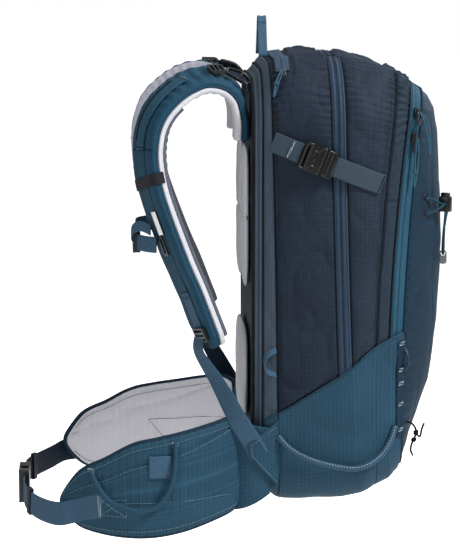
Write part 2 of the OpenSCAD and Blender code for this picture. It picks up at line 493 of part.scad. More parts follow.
module slider_back() color("#2b2f35") hang() on_skin(back_slot[0], back_slot[1], 0) slider(true);
module pull_from(slot, lift, list) {
    p = skin(slot[0], slot[1], lift + slack + 5.9);
    cord([for (q = list) p + q], cord_d, 8);
}
module pull_cord_top() color("#7fa6bd") hang() pull_from(top_slot, 1.2,
    [[0, 0, 0], [-5, 2, -2], [-11, 5, -7], [-16, 8, -14], [-18.5, 10, -22], [-20, 11, -30]]);
module pull_cord_a() color("#7fa6bd") hang() pull_from(a_slot, 0,
    [[0, 0, 0], [-1.5, -3, -5], [-2.6, -6, -14], [-3, -9, -26], [-3.4, -11, -38], [-3.4, -12.5, -50]]);
module pull_cord_b() color("#7fa6bd") hang() pull_from(b_slot, 0,
    [[0, 0, 0], [-0.6, 0, -6], [-0.4, 1, -20], [0, 1.5, -34], [0.2, 2, -48], [0.3, 2.5, -60]]);

back_panel();
frame_sheet();
stays();
rear_zip();
rear_gusset();
main_zip();
front_gusset();
pocket_zip();
top_zip();
pocket_front();
divider();
boot();
upper_pads();
lumbar_pad();
haul_loop();
strap_l();
strap_r();
linings();
strap_keepers();
tube_strip();
label();
ladder_locks();
lower_webs();
wings();
lifter_webs();
lifter_locks();
comp_females();
comp_male_l();
comp_male_r();
comp_webs();
chest_female();
chest_male();
chest_web_l();
chest_web_r();
chest_slides();
fin_l();
fin_r();
fin_linings();
hip_female();
hip_male();
hip_web_l();
hip_web_r();
hip_keepers();
gear_loop();
ski_loops();
daisy_strips();
eyelets();
cord_lock();
lock_button();
bungee();
cord_clip();
knot_cord();
slider_top();
slider_pocket_a();
slider_pocket_b();
slider_main();
slider_back();
pull_cord_top();
pull_cord_a();
pull_cord_b();
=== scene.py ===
import math
import bmesh
import bpy
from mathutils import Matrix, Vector, noise


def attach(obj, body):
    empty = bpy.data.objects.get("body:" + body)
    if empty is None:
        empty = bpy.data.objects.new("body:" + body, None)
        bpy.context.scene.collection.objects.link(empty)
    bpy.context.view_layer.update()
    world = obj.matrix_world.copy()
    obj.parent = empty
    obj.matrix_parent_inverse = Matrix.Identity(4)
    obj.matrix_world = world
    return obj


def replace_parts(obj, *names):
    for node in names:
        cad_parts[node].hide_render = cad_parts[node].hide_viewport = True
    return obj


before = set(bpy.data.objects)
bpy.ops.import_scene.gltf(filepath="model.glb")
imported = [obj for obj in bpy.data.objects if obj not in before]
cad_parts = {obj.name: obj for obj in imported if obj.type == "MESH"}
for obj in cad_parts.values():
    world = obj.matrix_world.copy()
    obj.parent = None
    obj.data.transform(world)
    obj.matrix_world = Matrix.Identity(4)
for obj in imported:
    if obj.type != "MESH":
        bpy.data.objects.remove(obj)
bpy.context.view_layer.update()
scene = bpy.context.scene

# The bag hangs from its loop: working heights run from the bag's foot, in millimetres
hangShift = Vector((0, 5, -591))


def inRow(p):
    return (Vector(p) + hangShift) / 1000


def linear(code):
    parts = [int(code[i:i + 2], 16) / 255 for i in (1, 3, 5)]
    return [p / 12.92 if p < 0.04 else ((p + 0.055) / 1.055) ** 2.4 for p in parts] + [1]


def node(tree, kind, **values):
    made = tree.nodes.new(kind)
    for key, value in values.items():
        if key.startswith("in_"):
            made.inputs[int(key[3:])].default_value = value
        else:
            setattr(made, key, value)
    return made


def maths(tree, operation, a, b=None, clamp=False):
    made = node(tree, "ShaderNodeMath", operation=operation, use_clamp=clamp)
    for i, value in enumerate((a, b)):
        if isinstance(value, (int, float)):
            made.inputs[i].default_value = value
        elif value is not None:
            tree.links.new(value, made.inputs[i])
    return made.outputs[0]


# Colours
paint = {
    "navy": "#131c28", "navyFront": "#17212d", "navyDeep": "#19242f", "strip": "#303c47",
    "teal": "#193444", "front": "#0d2231", "strap": "#133446", "inner": "#4a4e59",
    "lining": "#adadb3", "liningEdge": "#8b8c96",
    "tape": "#2a3a4c", "coilTape": "#42505d", "pocketTape": "#1d4052",
    # darkWebbing is the load lifters' webbing colour and also painted shade on the far-side lower and hip webbing
    "webbing": "#2d4558", "greyWebbing": "#29363f", "strapWebbing": "#1a3a4b", "darkWebbing": "#0d1827",
    # black is the knotted cord's own colour and is also used as painted shade in seams and gaps
    "elastic": "#1a191e", "cord": "#143441", "paleCord": "#284658", "black": "#07080b", "label": "#d3d2ce",
    "thread": "#9fb0ba", "softThread": "#56707f", "darkThread": "#070a0f",
    "plastic": "#08090b", "greyPlastic": "#4d5258", "metal": "#3a3e44", "sheet": "#c9c9c2", "alloy": "#a8acb0",
}

# One weave shared by every cloth: sizes in millimetres over the piece's own UV in metres
weaveValues = {"mottleSize": 14.0, "grainSize": 260.0, "grain": 0.3, "lineSharpness": 5, "yarnShade": 0.12,
               "lineShade": 1.1}


def makeWeave():
    tree = bpy.data.node_groups.new("clothWeave", "ShaderNodeTree")
    for name, start in (("Yarn", 0.9), ("Grid", 5), ("Grid strength", 0.5), ("Mottle", 0.3)):
        tree.interface.new_socket(name, in_out="INPUT", socket_type="NodeSocketFloat").default_value = start
    for name in ("Shade", "Height"):
        tree.interface.new_socket(name, in_out="OUTPUT", socket_type="NodeSocketFloat")
    given, out = node(tree, "NodeGroupInput"), node(tree, "NodeGroupOutput")
    split = node(tree, "ShaderNodeSeparateXYZ")
    tree.links.new(node(tree, "ShaderNodeUVMap").outputs[0], split.inputs[0])
    u = maths(tree, "MULTIPLY", split.outputs[0], 1000)
    v = maths(tree, "MULTIPLY", split.outputs[1], 1000)

    def threads(value, size):
        turn = maths(tree, "DIVIDE", value, size)
        return maths(tree, "SINE", maths(tree, "MULTIPLY", turn, math.pi))

    yarn = maths(tree, "MULTIPLY", threads(u, given.outputs[0]), threads(v, given.outputs[0]))
    cut = [maths(tree, "SUBTRACT", 1, maths(tree, "ABSOLUTE", threads(c, given.outputs[1]))) for c in (u, v)]
    sharp = [maths(tree, "POWER", c, weaveValues["lineSharpness"]) for c in cut]
    lines = maths(tree, "MULTIPLY", maths(tree, "MAXIMUM", sharp[0], sharp[1]), given.outputs[2])
    coord = node(tree, "ShaderNodeTexCoord")
    broad = node(tree, "ShaderNodeTexNoise", in_2=weaveValues["mottleSize"], in_3=4.0)
    fine = node(tree, "ShaderNodeTexNoise", in_2=weaveValues["grainSize"], in_3=2.0)
    for made in (broad, fine):
        tree.links.new(coord.outputs["Object"], made.inputs["Vector"])
    mottle = maths(tree, "MULTIPLY", maths(tree, "SUBTRACT", broad.outputs[0], 0.5), given.outputs[3])
    grain = maths(tree, "MULTIPLY", maths(tree, "SUBTRACT", fine.outputs[0], 0.5), weaveValues["grain"])
    shade = maths(tree, "ADD", 0.5, mottle)
    shade = maths(tree, "ADD", shade, grain)
    shade = maths(tree, "ADD", shade, maths(tree, "MULTIPLY", yarn, weaveValues["yarnShade"]))
    shade = maths(tree, "ADD", shade, maths(tree, "MULTIPLY", lines, weaveValues["lineShade"]), True)
    height = maths(tree, "ADD", maths(tree, "MULTIPLY", yarn, 0.5), lines)
    height = maths(tree, "ADD", height, grain)
    tree.links.new(shade, out.inputs[0])
    tree.links.new(height, out.inputs[1])
    return tree


weave = makeWeave()


def cloth(name, code, rough=0.66, yarn=0.9, grid=5.0, strength=0.5, mottle=0.3, bump=0.25, spread=0.55,
          shine=0.12):
    material = bpy.data.materials.new(name)
    material.use_nodes = True
    tree = material.node_tree
    surface = tree.nodes["Principled BSDF"]
    base = linear(code)
    low = [c * (1 - spread) for c in base[:3]] + [1]
    high = [min(1, c * (1 + spread)) for c in base[:3]] + [1]
    used = node(tree, "ShaderNodeGroup", node_tree=weave)
    for i, value in enumerate((yarn, grid, strength, mottle)):
        used.inputs[i].default_value = value
    mix = node(tree, "ShaderNodeMix", data_type="RGBA")
    mix.inputs["A"].default_value, mix.inputs["B"].default_value = low, high
    tree.links.new(used.outputs["Shade"], mix.inputs["Factor"])
    tree.links.new(mix.outputs["Result"], surface.inputs["Base Color"])
    raised = node(tree, "ShaderNodeBump")
    raised.inputs["Strength"].default_value = bump
    raised.inputs["Distance"].default_value = 0.0006
    tree.links.new(used.outputs["Height"], raised.inputs["Height"])
    tree.links.new(raised.outputs[0], surface.inputs["Normal"])
    surface.inputs["Roughness"].default_value = rough
    surface.inputs["Specular IOR Level"].default_value = shine
    return material


# Zip tape: coil ridge down the middle of the second UV, which runs 0 to 1 across the tape
def zipCloth(name, code, coil=1.5, half=0.1, dark=0.45):
    material = cloth(name, code, 0.75, 0.7, 30, 0)
    tree = material.node_tree
    surface = tree.nodes["Principled BSDF"]
    split = node(tree, "ShaderNodeSeparateXYZ")
    tree.links.new(node(tree, "ShaderNodeUVMap", uv_map="across").outputs[0], split.inputs[0])
    off = maths(tree, "ABSOLUTE", maths(tree, "SUBTRACT", split.outputs[0], 0.5))
    band = maths(tree, "LESS_THAN", off, half)
    slitShade = maths(tree, "LESS_THAN", off, 0.02)
    edge = maths(tree, "GREATER_THAN", off, 0.46)
    rib = maths(tree, "SINE", maths(tree, "MULTIPLY", split.outputs[1], 2000 * math.pi / coil))
    teeth = maths(tree, "MULTIPLY", band, maths(tree, "ADD", 1, maths(tree, "MULTIPLY", rib, 0.35)))
    # Painted shade: a black slit down the middle and darker tape edges; the coil band is darkened for the coil's own
    # colour
    shadeAndCoil = maths(tree, "ADD", maths(tree, "MULTIPLY", slitShade, 0.8), maths(tree, "MULTIPLY", edge, 0.35))
    shadeAndCoil = maths(tree, "ADD", shadeAndCoil, maths(tree, "MULTIPLY", teeth, dark * 0.5), True)
    plain = surface.inputs["Base Color"].links[0].from_socket
    mix = node(tree, "ShaderNodeMix", data_type="RGBA")
    mix.inputs["B"].default_value = linear(paint["black"])
    tree.links.new(shadeAndCoil, mix.inputs["Factor"])
    tree.links.new(plain, mix.inputs["A"])
    tree.links.new(mix.outputs["Result"], surface.inputs["Base Color"])
    raised = surface.inputs["Normal"].links[0].from_node
    ridge = maths(tree, "MULTIPLY", teeth, 2.2)
    tree.links.new(maths(tree, "ADD", raised.inputs["Height"].links[0].from_socket, ridge), raised.inputs["Height"])
    return material


def solidLook(name, code, rough=0.45, metal=0.0, grain=0.08):
    material = bpy.data.materials.new(name)
    material.use_nodes = True
    tree = material.node_tree
    surface = tree.nodes["Principled BSDF"]
    surface.inputs["Base Color"].default_value = linear(code)
    surface.inputs["Metallic"].default_value = metal
    surface.inputs["Specular IOR Level"].default_value = 0.3
    coord = node(tree, "ShaderNodeTexCoord")
    speck = node(tree, "ShaderNodeTexNoise", in_2=900.0, in_3=3.0)
    tree.links.new(coord.outputs["Object"], speck.inputs["Vector"])
    uneven = maths(tree, "MULTIPLY", maths(tree, "SUBTRACT", speck.outputs[0], 0.5), 0.25)
    tree.links.new(maths(tree, "ADD", rough, uneven), surface.inputs["Roughness"])
    raised = node(tree, "ShaderNodeBump")
    raised.inputs["Strength"].default_value = grain
    raised.inputs["Distance"].default_value = 0.0003
    tree.links.new(speck.outputs[0], raised.inputs["Height"])
    tree.links.new(raised.outputs[0], surface.inputs["Normal"])
    return material


# Cloth finishes: material name and what differs from plain cloth
webbingWeave = {"yarn": 1.5, "grid": 2.6, "strength": 0.35, "mottle": 0.15, "bump": 0.6}
meshWeave = {"rough": 0.9, "yarn": 1.6, "strength": 0, "mottle": 0.12, "bump": 0.5, "spread": 0.14}
clothFinishes = {
    "navy": ("navyRipstop", {"strength": 0.55, "mottle": 0.5}),
    "navyDeep": ("navyRipstopDeep", {}),
    "navyFront": ("navyRipstopFront", {"strength": 0.5, "mottle": 0.5}),
    "strip": ("greyRipstop", {"grid": 4}),
    "teal": ("tealRipstop", {"strength": 0.5, "mottle": 0.5}),
    "front": ("frontCloth", {"yarn": 1.2, "strength": 0.15}),
    "strap": ("strapCloth", {"yarn": 0.8, "strength": 0.1, "mottle": 0.2}),
    "inner": ("innerCloth", {"yarn": 1.2, "strength": 0, "mottle": 0.2}),
    "lining": ("liningMesh", meshWeave),
    "liningEdge": ("liningEdge", meshWeave),
    "webbing": ("webbing", webbingWeave),
    "greyWebbing": ("greyWebbing", webbingWeave),
    "strapWebbing": ("strapWebbing", webbingWeave),
    "darkWebbing": ("darkWebbing", {"yarn": 1.5, "grid": 2.6, "strength": 0.3, "bump": 0.6}),
    "elastic": ("elastic", {"yarn": 1.1, "grid": 1.6, "strength": 0.5, "bump": 0.7}),
    "cord": ("cordBraid", {"yarn": 1.1, "grid": 2, "strength": 0.5, "bump": 0.6}),
    "paleCord": ("paleCord", {"yarn": 0.9, "grid": 2, "strength": 0.4, "bump": 0.5}),
    "black": ("blackCord", {"yarn": 1, "grid": 2, "strength": 0.3, "bump": 0.5}),
    "label": ("labelCloth", {"yarn": 0.7, "grid": 9, "strength": 0, "mottle": 0.08, "spread": 0.1}),
    "thread": ("thread", {"yarn": 0.5, "strength": 0, "spread": 0.1}),
    "softThread": ("softThread", {"yarn": 0.5, "strength": 0, "spread": 0.1}),
    "darkThread": ("darkThread", {"yarn": 0.5, "strength": 0}),
}
zipFinishes = {
    "tape": ("zipTape", {"half": 0.05, "dark": 0.3}),
    "coilTape": ("coilTape", {"coil": 2.2, "half": 0.22, "dark": 0.7}),
    "pocketTape": ("pocketTape", {"half": 0.1, "dark": 0.3}),
}
hardFinishes = {
    "plastic": ("blackPlastic", {"rough": 0.32}),
    "greyPlastic": ("greyPlastic", {"rough": 0.4}),
    "metal": ("darkMetal", {"rough": 0.35, "metal": 0.9}),
    "sheet": ("sheetPlastic", {"rough": 0.5}),
    "alloy": ("alloy", {"rough": 0.35, "metal": 1.0}),
}
looks = {}
for maker, finishes in ((cloth, clothFinishes), (zipCloth, zipFinishes), (solidLook, hardFinishes)):
    for key, (name, values) in finishes.items():
        looks[key] = maker(name, paint[key], **values)
print("materials made")


def finishMesh(name, bm, material, smooth=True):
    mesh = bpy.data.meshes.new(name)
    bm.to_mesh(mesh)
    bm.free()
    mesh.materials.append(looks[material])
    for face in mesh.polygons:
        face.use_smooth = smooth
    made = bpy.data.objects.new(name, mesh)
    scene.collection.objects.link(made)
    return made


# A grid bent to place(a, b), its UV from lay(a, b) in metres
def bentGrid(name, nu, nv, place, lay, material, closed=False, outward=False):
    bm = bmesh.new()
    bmesh.ops.create_grid(bm, x_segments=nu, y_segments=nv, size=0.5)
    main = bm.loops.layers.uv.new("UVMap")
    across = bm.loops.layers.uv.new("across")
    for face in bm.faces:
        for loop in face.loops:
            a, b = loop.vert.co.x + 0.5, loop.vert.co.y + 0.5
            loop[main].uv = lay(a, b)
            loop[across].uv = (a, lay(a, b)[1])
    for vert in bm.verts:
        vert.co = inRow(place(min(1, max(0, vert.co.x + 0.5)), min(1, max(0, vert.co.y + 0.5))))
    if closed:
        bmesh.ops.remove_doubles(bm, verts=bm.verts, dist=1e-6)
        bmesh.ops.holes_fill(bm, edges=[e for e in bm.edges if e.is_boundary], sides=0)
        bmesh.ops.recalc_face_normals(bm, faces=bm.faces)
    elif outward:
        bm.normal_update()
        heart = Vector((0, -0.1, -0.32))  # inside the bag, so faces are turned away from it
        if sum(f.normal.dot(f.calc_center_median() - heart) for f in bm.faces) < 0:
            bmesh.ops.reverse_faces(bm, faces=bm.faces)
    return finishMesh(name, bm, material)


def thicken(made, amount):
    shell = made.modifiers.new("thickness", "SOLIDIFY")
    shell.thickness = amount / 1000
    shell.offset = -1
    return made


def settle(made, body, *nodes):
    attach(made, body)
    if nodes:
        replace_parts(made, *nodes)
    return made


def tube(name, points, radius, material, body="bag", sides=3):
    curve = bpy.data.curves.new(name, "CURVE")
    curve.dimensions = "3D"
    curve.bevel_depth = radius / 1000
    curve.bevel_resolution = sides
    curve.use_fill_caps = True
    runs = points if isinstance(points[0], list) else [points]
    for run in runs:
        line = curve.splines.new("POLY")
        line.points.add(len(run) - 1)
        for p, q in zip(line.points, run):
            p.co = (*inRow(q), 1)
    curve.materials.append(looks[material])
    made = bpy.data.objects.new(name, curve)
    scene.collection.objects.link(made)
    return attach(made, body)


def resample(points, step):
    out, left = [points[0].copy()], step
    for a, b in zip(points, points[1:]):
        d = (b - a).length
        while d >= left and d > 0:
            a = a.lerp(b, left / d)
            out.append(a.copy())
            d = (b - a).length
            left = step
        left -= d
    return out


# Dashes of thread along lines, in millimetres
def stitches(name, lines, material="thread", dash=2.6, skip=1.5, radius=0.35):
    grain = 0.4
    runs = []
    for line in lines:
        fine = resample(line, grain)
        per, used = round((dash + skip) / grain), round(dash / grain)
        runs += [fine[i:i + used + 1:3] for i in range(0, len(fine) - used, per)]
    return tube(name, runs, radius, material, sides=1)


def barTack(name, centre, across, along, width, length=3.5, look="thread", zigzags=9):
    points = [centre + across * (width * ((i % 2) - 0.5)) + along * (length * (i / zigzags - 0.5))
              for i in range(zigzags + 1)]
    return tube(name, points, 0.4, look, "bag", 1)


def spline(points, count):
    out = []
    n = len(points) - 1
    for k in range(n * count + 1):
        i = min(k // count, n - 1)
        t = (k - i * count) / count
        p = [Vector(points[max(0, min(n, i + d))]) for d in (-1, 0, 1, 2)]
        out.append(0.5 * ((2 * p[1]) + (p[2] - p[0]) * t + (2 * p[0] - 5 * p[1] + 4 * p[2] - p[3]) * t * t
                          + (3 * p[1] - p[0] - 3 * p[2] + p[3]) * t ** 3))
    return out


# Bag surface: station s runs from the back edge to the pocket edge, v from top middle to bottom middle.
# Each row: y at top, middle and foot, half width, top, foot, and the top and bottom corner radii
rows = [
    [12, 12, 12, 118, 520, 30, 62, 34], [1, 1, 1, 124, 531, 20, 66, 36], [-8, -14, -18, 131, 544, 1, 72, 42],
    [-80, -86, -96, 141, 550, 3, 80, 48], [-97, -103, -113, 142, 549, 7, 80, 48],
    [-163, -142, -137, 134, 527, 17, 66, 44], [-181, -159, -155, 127, 518, 24, 52, 42],
    [-198, -178, -173, 112, 507, 38, 46, 38],
]
swell = [0, 0, 1, 0, 1.2, 0, 0]
crest = [(38, -173), (62, -187), (97, -202), (136, -216), (177, -222.5), (218, -227), (270, -229.5),
         (320, -230.8), (360, -230), (411, -227), (455, -223.5), (481, -218.5), (496, -210), (507, -198)]
turns = (0.12, 0.24, 0.86, 0.93)
bootSeam = [(2.02, 115), (2.1, 119), (2.35, 131), (2.65, 145), (3, 161), (4, 173), (4.35, 182), (4.7, 191),
            (5, 198), (6, 206), (6.98, 212)]


def lookUp(x, table):
    if x <= table[0][0]:
        return table[0][1]
    for (a, p), (b, q) in zip(table, table[1:]):
        if x <= b:
            return p + (q - p) * (x - a) / (b - a)
    return table[-1][1]


def puffAt(s):
    i = max(0, min(int(s), 6))
    return 4 * swell[i] * 4 * (s - i) * (1 - s + i)


def station(s):
    i = max(0, min(int(s), 6))
    f = s - i
    q = [a + (b - a) * f for a, b in zip(rows[i], rows[i + 1])]
    puff = puffAt(s)
    return q, q[3] + puff, q[4] + puff * 0.6, q[5] - puff


def raw(s, v):
    t1, t2, t3, t4 = turns
    q, w, zt, zb = station(s)
    a, rt, rb = abs(v), q[6], q[7]
    if a < t1:
        x, z = (w - rt) * a / t1, zt
    elif a < t2:
        g = math.pi / 2 * (a - t1) / (t2 - t1)
        x, z = w - rt + rt * math.sin(g), zt - rt * (1 - math.cos(g))
    elif a < t3:
        x, z = w, zt - rt + (zb + rb - zt + rt) * (a - t2) / (t3 - t2)
    elif a < t4:
        g = math.pi / 2 * (a - t3) / (t4 - t3)
        x, z = w - rb + rb * math.cos(g), zb + rb - rb * math.sin(g)
    else:
        x, z = (w - rb) * (1 - a) / (1 - t4), zb
    c = max(10, min(545, z))
    y = (q[0] * (c - 300) * (c - 60) / (220 * 460) - q[1] * (c - 520) * (c - 60) / (220 * 240)
         + q[2] * (c - 520) * (c - 300) / (460 * 240))
    return Vector((-x if v < 0 else x, y, z))


def wrap(v):
    return v - 2 if v > 1 else v + 2 if v < -1 else v


def skinNormal(s, v):
    v = max(-0.99, min(0.99, v))
    a = raw(min(7, s + 0.03), v) - raw(max(0, s - 0.03), v)
    b = raw(s, v + 0.006) - raw(s, v - 0.006)
    return a.cross(b).normalized()


def skin(s, v, o):
    return raw(s, wrap(v)) + skinNormal(s, wrap(v)) * o


def sideV(s, z):
    q, w, zt, zb = station(s)
    za, zc = zt - q[6], zb + q[7]
    return turns[1] + (turns[2] - turns[1]) * (za - z) / (za - zc)


def left(s, z, o):
    return skin(s, -sideV(s, z), o)


# Evenly spaced ring positions between two, and the length of ring between them
def ringTable(s, start, end, count):
    fine = [start + (end - start) * i / 900 for i in range(901)]
    spots = [raw(s, wrap(v)) for v in fine]
    run = [0]
    for a, b in zip(spots, spots[1:]):
        run.append(run[-1] + (b - a).length)
    out, j = [], 0
    for k in range(count + 1):
        goal = run[-1] * k / count
        while j < 899 and run[j + 1] < goal:
            j += 1
        part = min(1, (goal - run[j]) / max(1e-6, run[j + 1] - run[j]))
        out.append(fine[j] + (fine[j + 1] - fine[j]) * part)
    return out, run[-1]


def wave(p, size, seed=0):
    return noise.noise(Vector(p) / size + Vector((seed, seed * 0.7, seed * 1.3)))


def crease(p, size, seed=0):
    return (1 - min(1, abs(wave(p, size, seed)) * 2.2)) ** 3


# Cloth panels of the bag
folds = {"pillow": 2.4, "broad": 3.4, "creases": 2.6, "pinch": 1.1, "pucker": 0.4, "puckerStep": 9,
         "webbingPress": 22, "topSag": 5.5}
panels = {
    "rearZipTape": ("rear_zip", 0.1, 0.97, 0.86, "coilTape", {"step": 3, "base": -0.3, "amount": 0.15}),
    "rearGussetStrip": ("rear_gusset", 1.03, 2, 0.999, "strip", {"amount": 0.5, "thick": 1}),
    "rearGussetSide": ("rear_gusset", 2, 2.995, 0.999, "navy", {"amount": 1.1, "gatherTop": 1.2, "thick": 1}),
    "mainZipTape": ("main_zip", 3.02, 3.98, 0.74, "tape", {"step": 3, "base": -0.2, "amount": 0.3}),
    "frontGussetSide": ("front_gusset", 4.006, 5, 0.999, "navyFront", {"gatherTop": 0.9, "thick": 1}),
    "frontGussetEdge": ("front_gusset", 5, 5.985, 0.999, "navyDeep",
                        {"amount": 1.1, "gatherTop": 1.7, "thick": 1}),
    "pocketZipTape": ("pocket_zip", 6.02, 6.975, 0.8, "pocketTape", {"step": 3, "base": -0.5, "amount": 0.15}),
    "topZipTape": ("top_zip", 2.1, 2.34, 0.17, "tape", {"step": 2, "base": 2.6, "amount": 0.1}),
}


# Relief in a panel: f across it, width and distance along in millimetres
def relief(p, f, width, along, amount=1.0, gather=0.0):
    d = min(f, 1 - f) * width
    lift = folds["pillow"] * min(1, width / 60) * 4 * f * (1 - f)
    lift += folds["broad"] * wave(p, 55, 3) * min(1, d / 12)
    lift -= folds["creases"] * (crease(Vector((p[0], p[1], p[2] * 0.6)), 46, 7) - 0.25) * min(1, d / 8)
    lift -= folds["creases"] * 0.4 * (crease(Vector((p[0], p[1] * 1.4, p[2])), 21, 9) - 0.25) * min(1, d / 6)
    lift -= folds["pinch"] * math.exp(-d / 2.5)
    wobble = along + 4 * wave((along, 0, 0), 30, 5) + 7 * gather * wave(p, 26, 6)
    lift += folds["pucker"] * (1 + 7 * gather) * math.exp(-d / (9 + 9 * gather)) * math.sin(
        2 * math.pi * wobble / folds["puckerStep"]) * min(1, d / 1.5)
    return lift * amount


def topDrop(s, v):
    return folds["topSag"] * math.exp(-(v / 0.17) ** 2) * min(1, max(0, s - 1.3)) * min(1, max(0, 5.3 - s))


def bagPanel(name, nodeName, s0, s1, vEnd, look, step=2.4, base=0.2, amount=1.0, gatherTop=0.0, thick=1.3):
    middle = (s0 + s1) / 2
    width = (raw(s1, -0.5) - raw(s0, -0.5)).length
    length = ringTable(middle, -vEnd, vEnd, 10)[1]
    count = max(60, int(length / step))
    table = ringTable(middle, -vEnd, vEnd, count)[0]
    columns = max(4, int(width / min(step, width / 6)))

    def at(b):
        i = min(int(b * count), count - 1)
        return table[i] + (table[i + 1] - table[i]) * (b * count - i)

    def place(a, b):
        s, v = s0 + (s1 - s0) * a, at(b)
        p = raw(s, v)
        gather = gatherTop * math.exp(-((abs(v) - 0.13) / 0.1) ** 2)
        lift = relief(p, a, width, b * length, amount, gather) - topDrop(s, v)
        if abs(v) > 0.2 and 2 < s < 5.2:  # held flat under the side webbing
            held = math.exp(-((p[2] - 452 - (p[1] + 23) * 0.32) / folds["webbingPress"]) ** 2)
            lift = lift * (1 - held) + min(lift, 0) * held
        if s0 == 2 and s < 2.4 and abs(v) < 0.18:  # low under the top zip
            lift = min(lift, 0.5 - topDrop(s, v))
        if s > 1.1 and p[2] < lookUp(s, bootSeam) + 3:  # low inside the boot
            lift = min(lift, 0) - 0.4 - puffAt(s)
        return skin(s, v, base + lift)

    def lay(a, b):
        return a * width / 1000, b * length / 1000

    made = bentGrid(name, columns, count, place, lay, look, outward=True)
    return settle(thicken(made, thick), "bag", nodeName)


for name, (nodeName, s0, s1, vEnd, look, values) in panels.items():
    bagPanel(name, nodeName, s0, s1, vEnd, look, **values)

# Boot: the cloth round the foot, cut on a slant
boot = {"from": 1.06, "span": 5.9, "columns": 90, "around": 320, "stand": 2.9, "broad": 1.6, "creases": 1.3,
        "thick": 1}


def bootTop(s):
    return sideV(s, lookUp(s, [(1.06, 106)] + bootSeam))


def bootPoint(a, b, extra=0.0):
    s = boot["from"] + boot["span"] * a
    top = bootTop(s)
    v = top + (2 - 2 * top) * b
    p = raw(s, wrap(v))
    down = min(b, 1 - b) * 560
    side = min(s - 1.06, 6.96 - s) * 22
    lift = boot["stand"] + extra + boot["broad"] * wave(p, 60, 11) * min(1, down / 12)
    folded = crease(Vector((p[0] * 0.4, p[1] * 1.5, p[2] * 0.6)), 60, 17) - 0.25
    lift -= boot["creases"] * folded * min(1, down / 25)
    lift -= 1.3 * math.exp(-down / 2.5) + 1.8 * math.exp(-side / 3)
    lift += 0.7 * math.exp(-side / 8) * math.sin(2 * math.pi * (p[2] + p[0] * 0.6) / 11) * min(1, side / 3)
    return skin(s, wrap(v), max(0.5, lift) - 0.9 * puffAt(s))


bootStations = [boot["from"] + boot["span"] * i / boot["columns"] for i in range(boot["columns"] + 1)]
bootLengths = [ringTable(s, bootTop(s), 1, 8)[1] * 2 for s in bootStations]


def bootLay(a, b):
    length = bootLengths[min(boot["columns"], round(a * boot["columns"]))]
    return -raw(boot["from"] + boot["span"] * a, 0.7)[1] / 1000, (b - 0.5) * length / 1000


made = bentGrid("bootCloth", boot["columns"], boot["around"], bootPoint, bootLay, "teal", outward=True)
settle(thicken(made, boot["thick"]), "bag", "boot")
seamAt = (2.02 - boot["from"]) / boot["span"]
# Painted shade: a black tube down the boot's side seam
tube("bootSideSeam", [[bootPoint(seamAt, b / 200, 0.1) for b in range(first, first + 62)] for first in (0, 139)],
     0.7, "black")
stitches("bootSeamThread", [[bootPoint(i / 60, b, 0.6) for i in range(1, 60)] for b in (0.006, 0.994)],
         "darkThread", 2, 1)

# Front pocket
pocket = {"columns": 150, "rows": 230, "broad": 1.6, "creases": 1.2, "pucker": 1.3, "darts": 1.1, "thick": 1}


def frontPoint(t, v, o):
    p = raw(7, v)
    y = p[1] + (lookUp(p[2], crest) - p[1]) * (1 - abs(t) ** 2.6)
    return Vector((abs(p[0]) * t, y - o, p[2]))


def frontPlace(a, b):
    t = math.copysign(1 - (1 - abs(2 * a - 1)) ** 1.5, 2 * a - 1) * 0.985
    v = 0.135 + (0.94 - 0.135) * b
    p = frontPoint(t, v, 0)
    d = min((1 - abs(t)) * 112, 500 * min(b, 1 - b) + 2)
    lift = pocket["broad"] * wave(p, 50, 21) * min(1, d / 10)
    lift -= pocket["creases"] * (crease(Vector((p[0], p[1] * 0.6, p[2] * 0.7)), 55, 23) - 0.25)
    gathers = math.sin(2 * math.pi * p[2] / 13 + 3 * wave(p, 40, 2))
    lift += pocket["pucker"] * math.exp(-d / 12) * gathers * min(1, d / 3)
    lift -= 1.6 * math.exp(-d / 3)
    dart = abs(abs(t) - 0.62 - 0.0006 * (p[2] - 280))
    lift -= pocket["darts"] * math.exp(-dart * 112 / 2)
    return p + Vector((t * 0.35, -1, 0)).normalized() * (lift + 0.6)


made = bentGrid("pocketFrontCloth", pocket["columns"], pocket["rows"], frontPlace,
                lambda a, b: (0.24 * a, 0.48 * b), "front", outward=True)
settle(thicken(made, pocket["thick"]), "bag", "pocket_front")
print("bag panels made")

# Painted shade in the seams between panels as black tubes, and the piping round the pocket front: station, reach, lift,
# radius
seams = {
    "backSeam": (1.0, 0.999, 0.6, 1.0, "black"), "sideSeam": (2.0, 0.86, -0.5, 0.8, "black"),
    "zipSeamBack": (3.0, 0.9, -0.7, 0.6, "black"), "zipSeamFront": (4.0, 0.9, -0.7, 0.6, "black"),
    "edgeSeam": (5.0, 0.9, -0.7, 0.6, "black"), "pocketPiping": (6.0, 0.9, 0.0, 1.0, "black"),
    "frontPiping": (7.0, 0.999, 0.2, 1.5, "front"),
}
seamThreads = {
    "sideSeamThread": (2.07, 0.7, "darkThread"), "edgeSeamThread": (4.9, 0.9, "black"),
    "edgeSeamThreadFront": (5.12, 0.8, "black"), "pocketZipThread": (6.14, 0.7, "darkThread"),
    "mainZipThreadBack": (3.16, 0.4, "darkThread"), "mainZipThreadFront": (3.84, 0.4, "darkThread"),
    "mainZipCoilBack": (3.42, 0.7, "darkThread"), "mainZipCoilFront": (3.58, 0.7, "darkThread"),
}


def alongStation(s, reach, o):
    count = max(6, int(ringTable(s, -reach, reach, 4)[1] / 3))
    return [skin(s, v, o - topDrop(s, v)) for v in ringTable(s, -reach, reach, count)[0]]


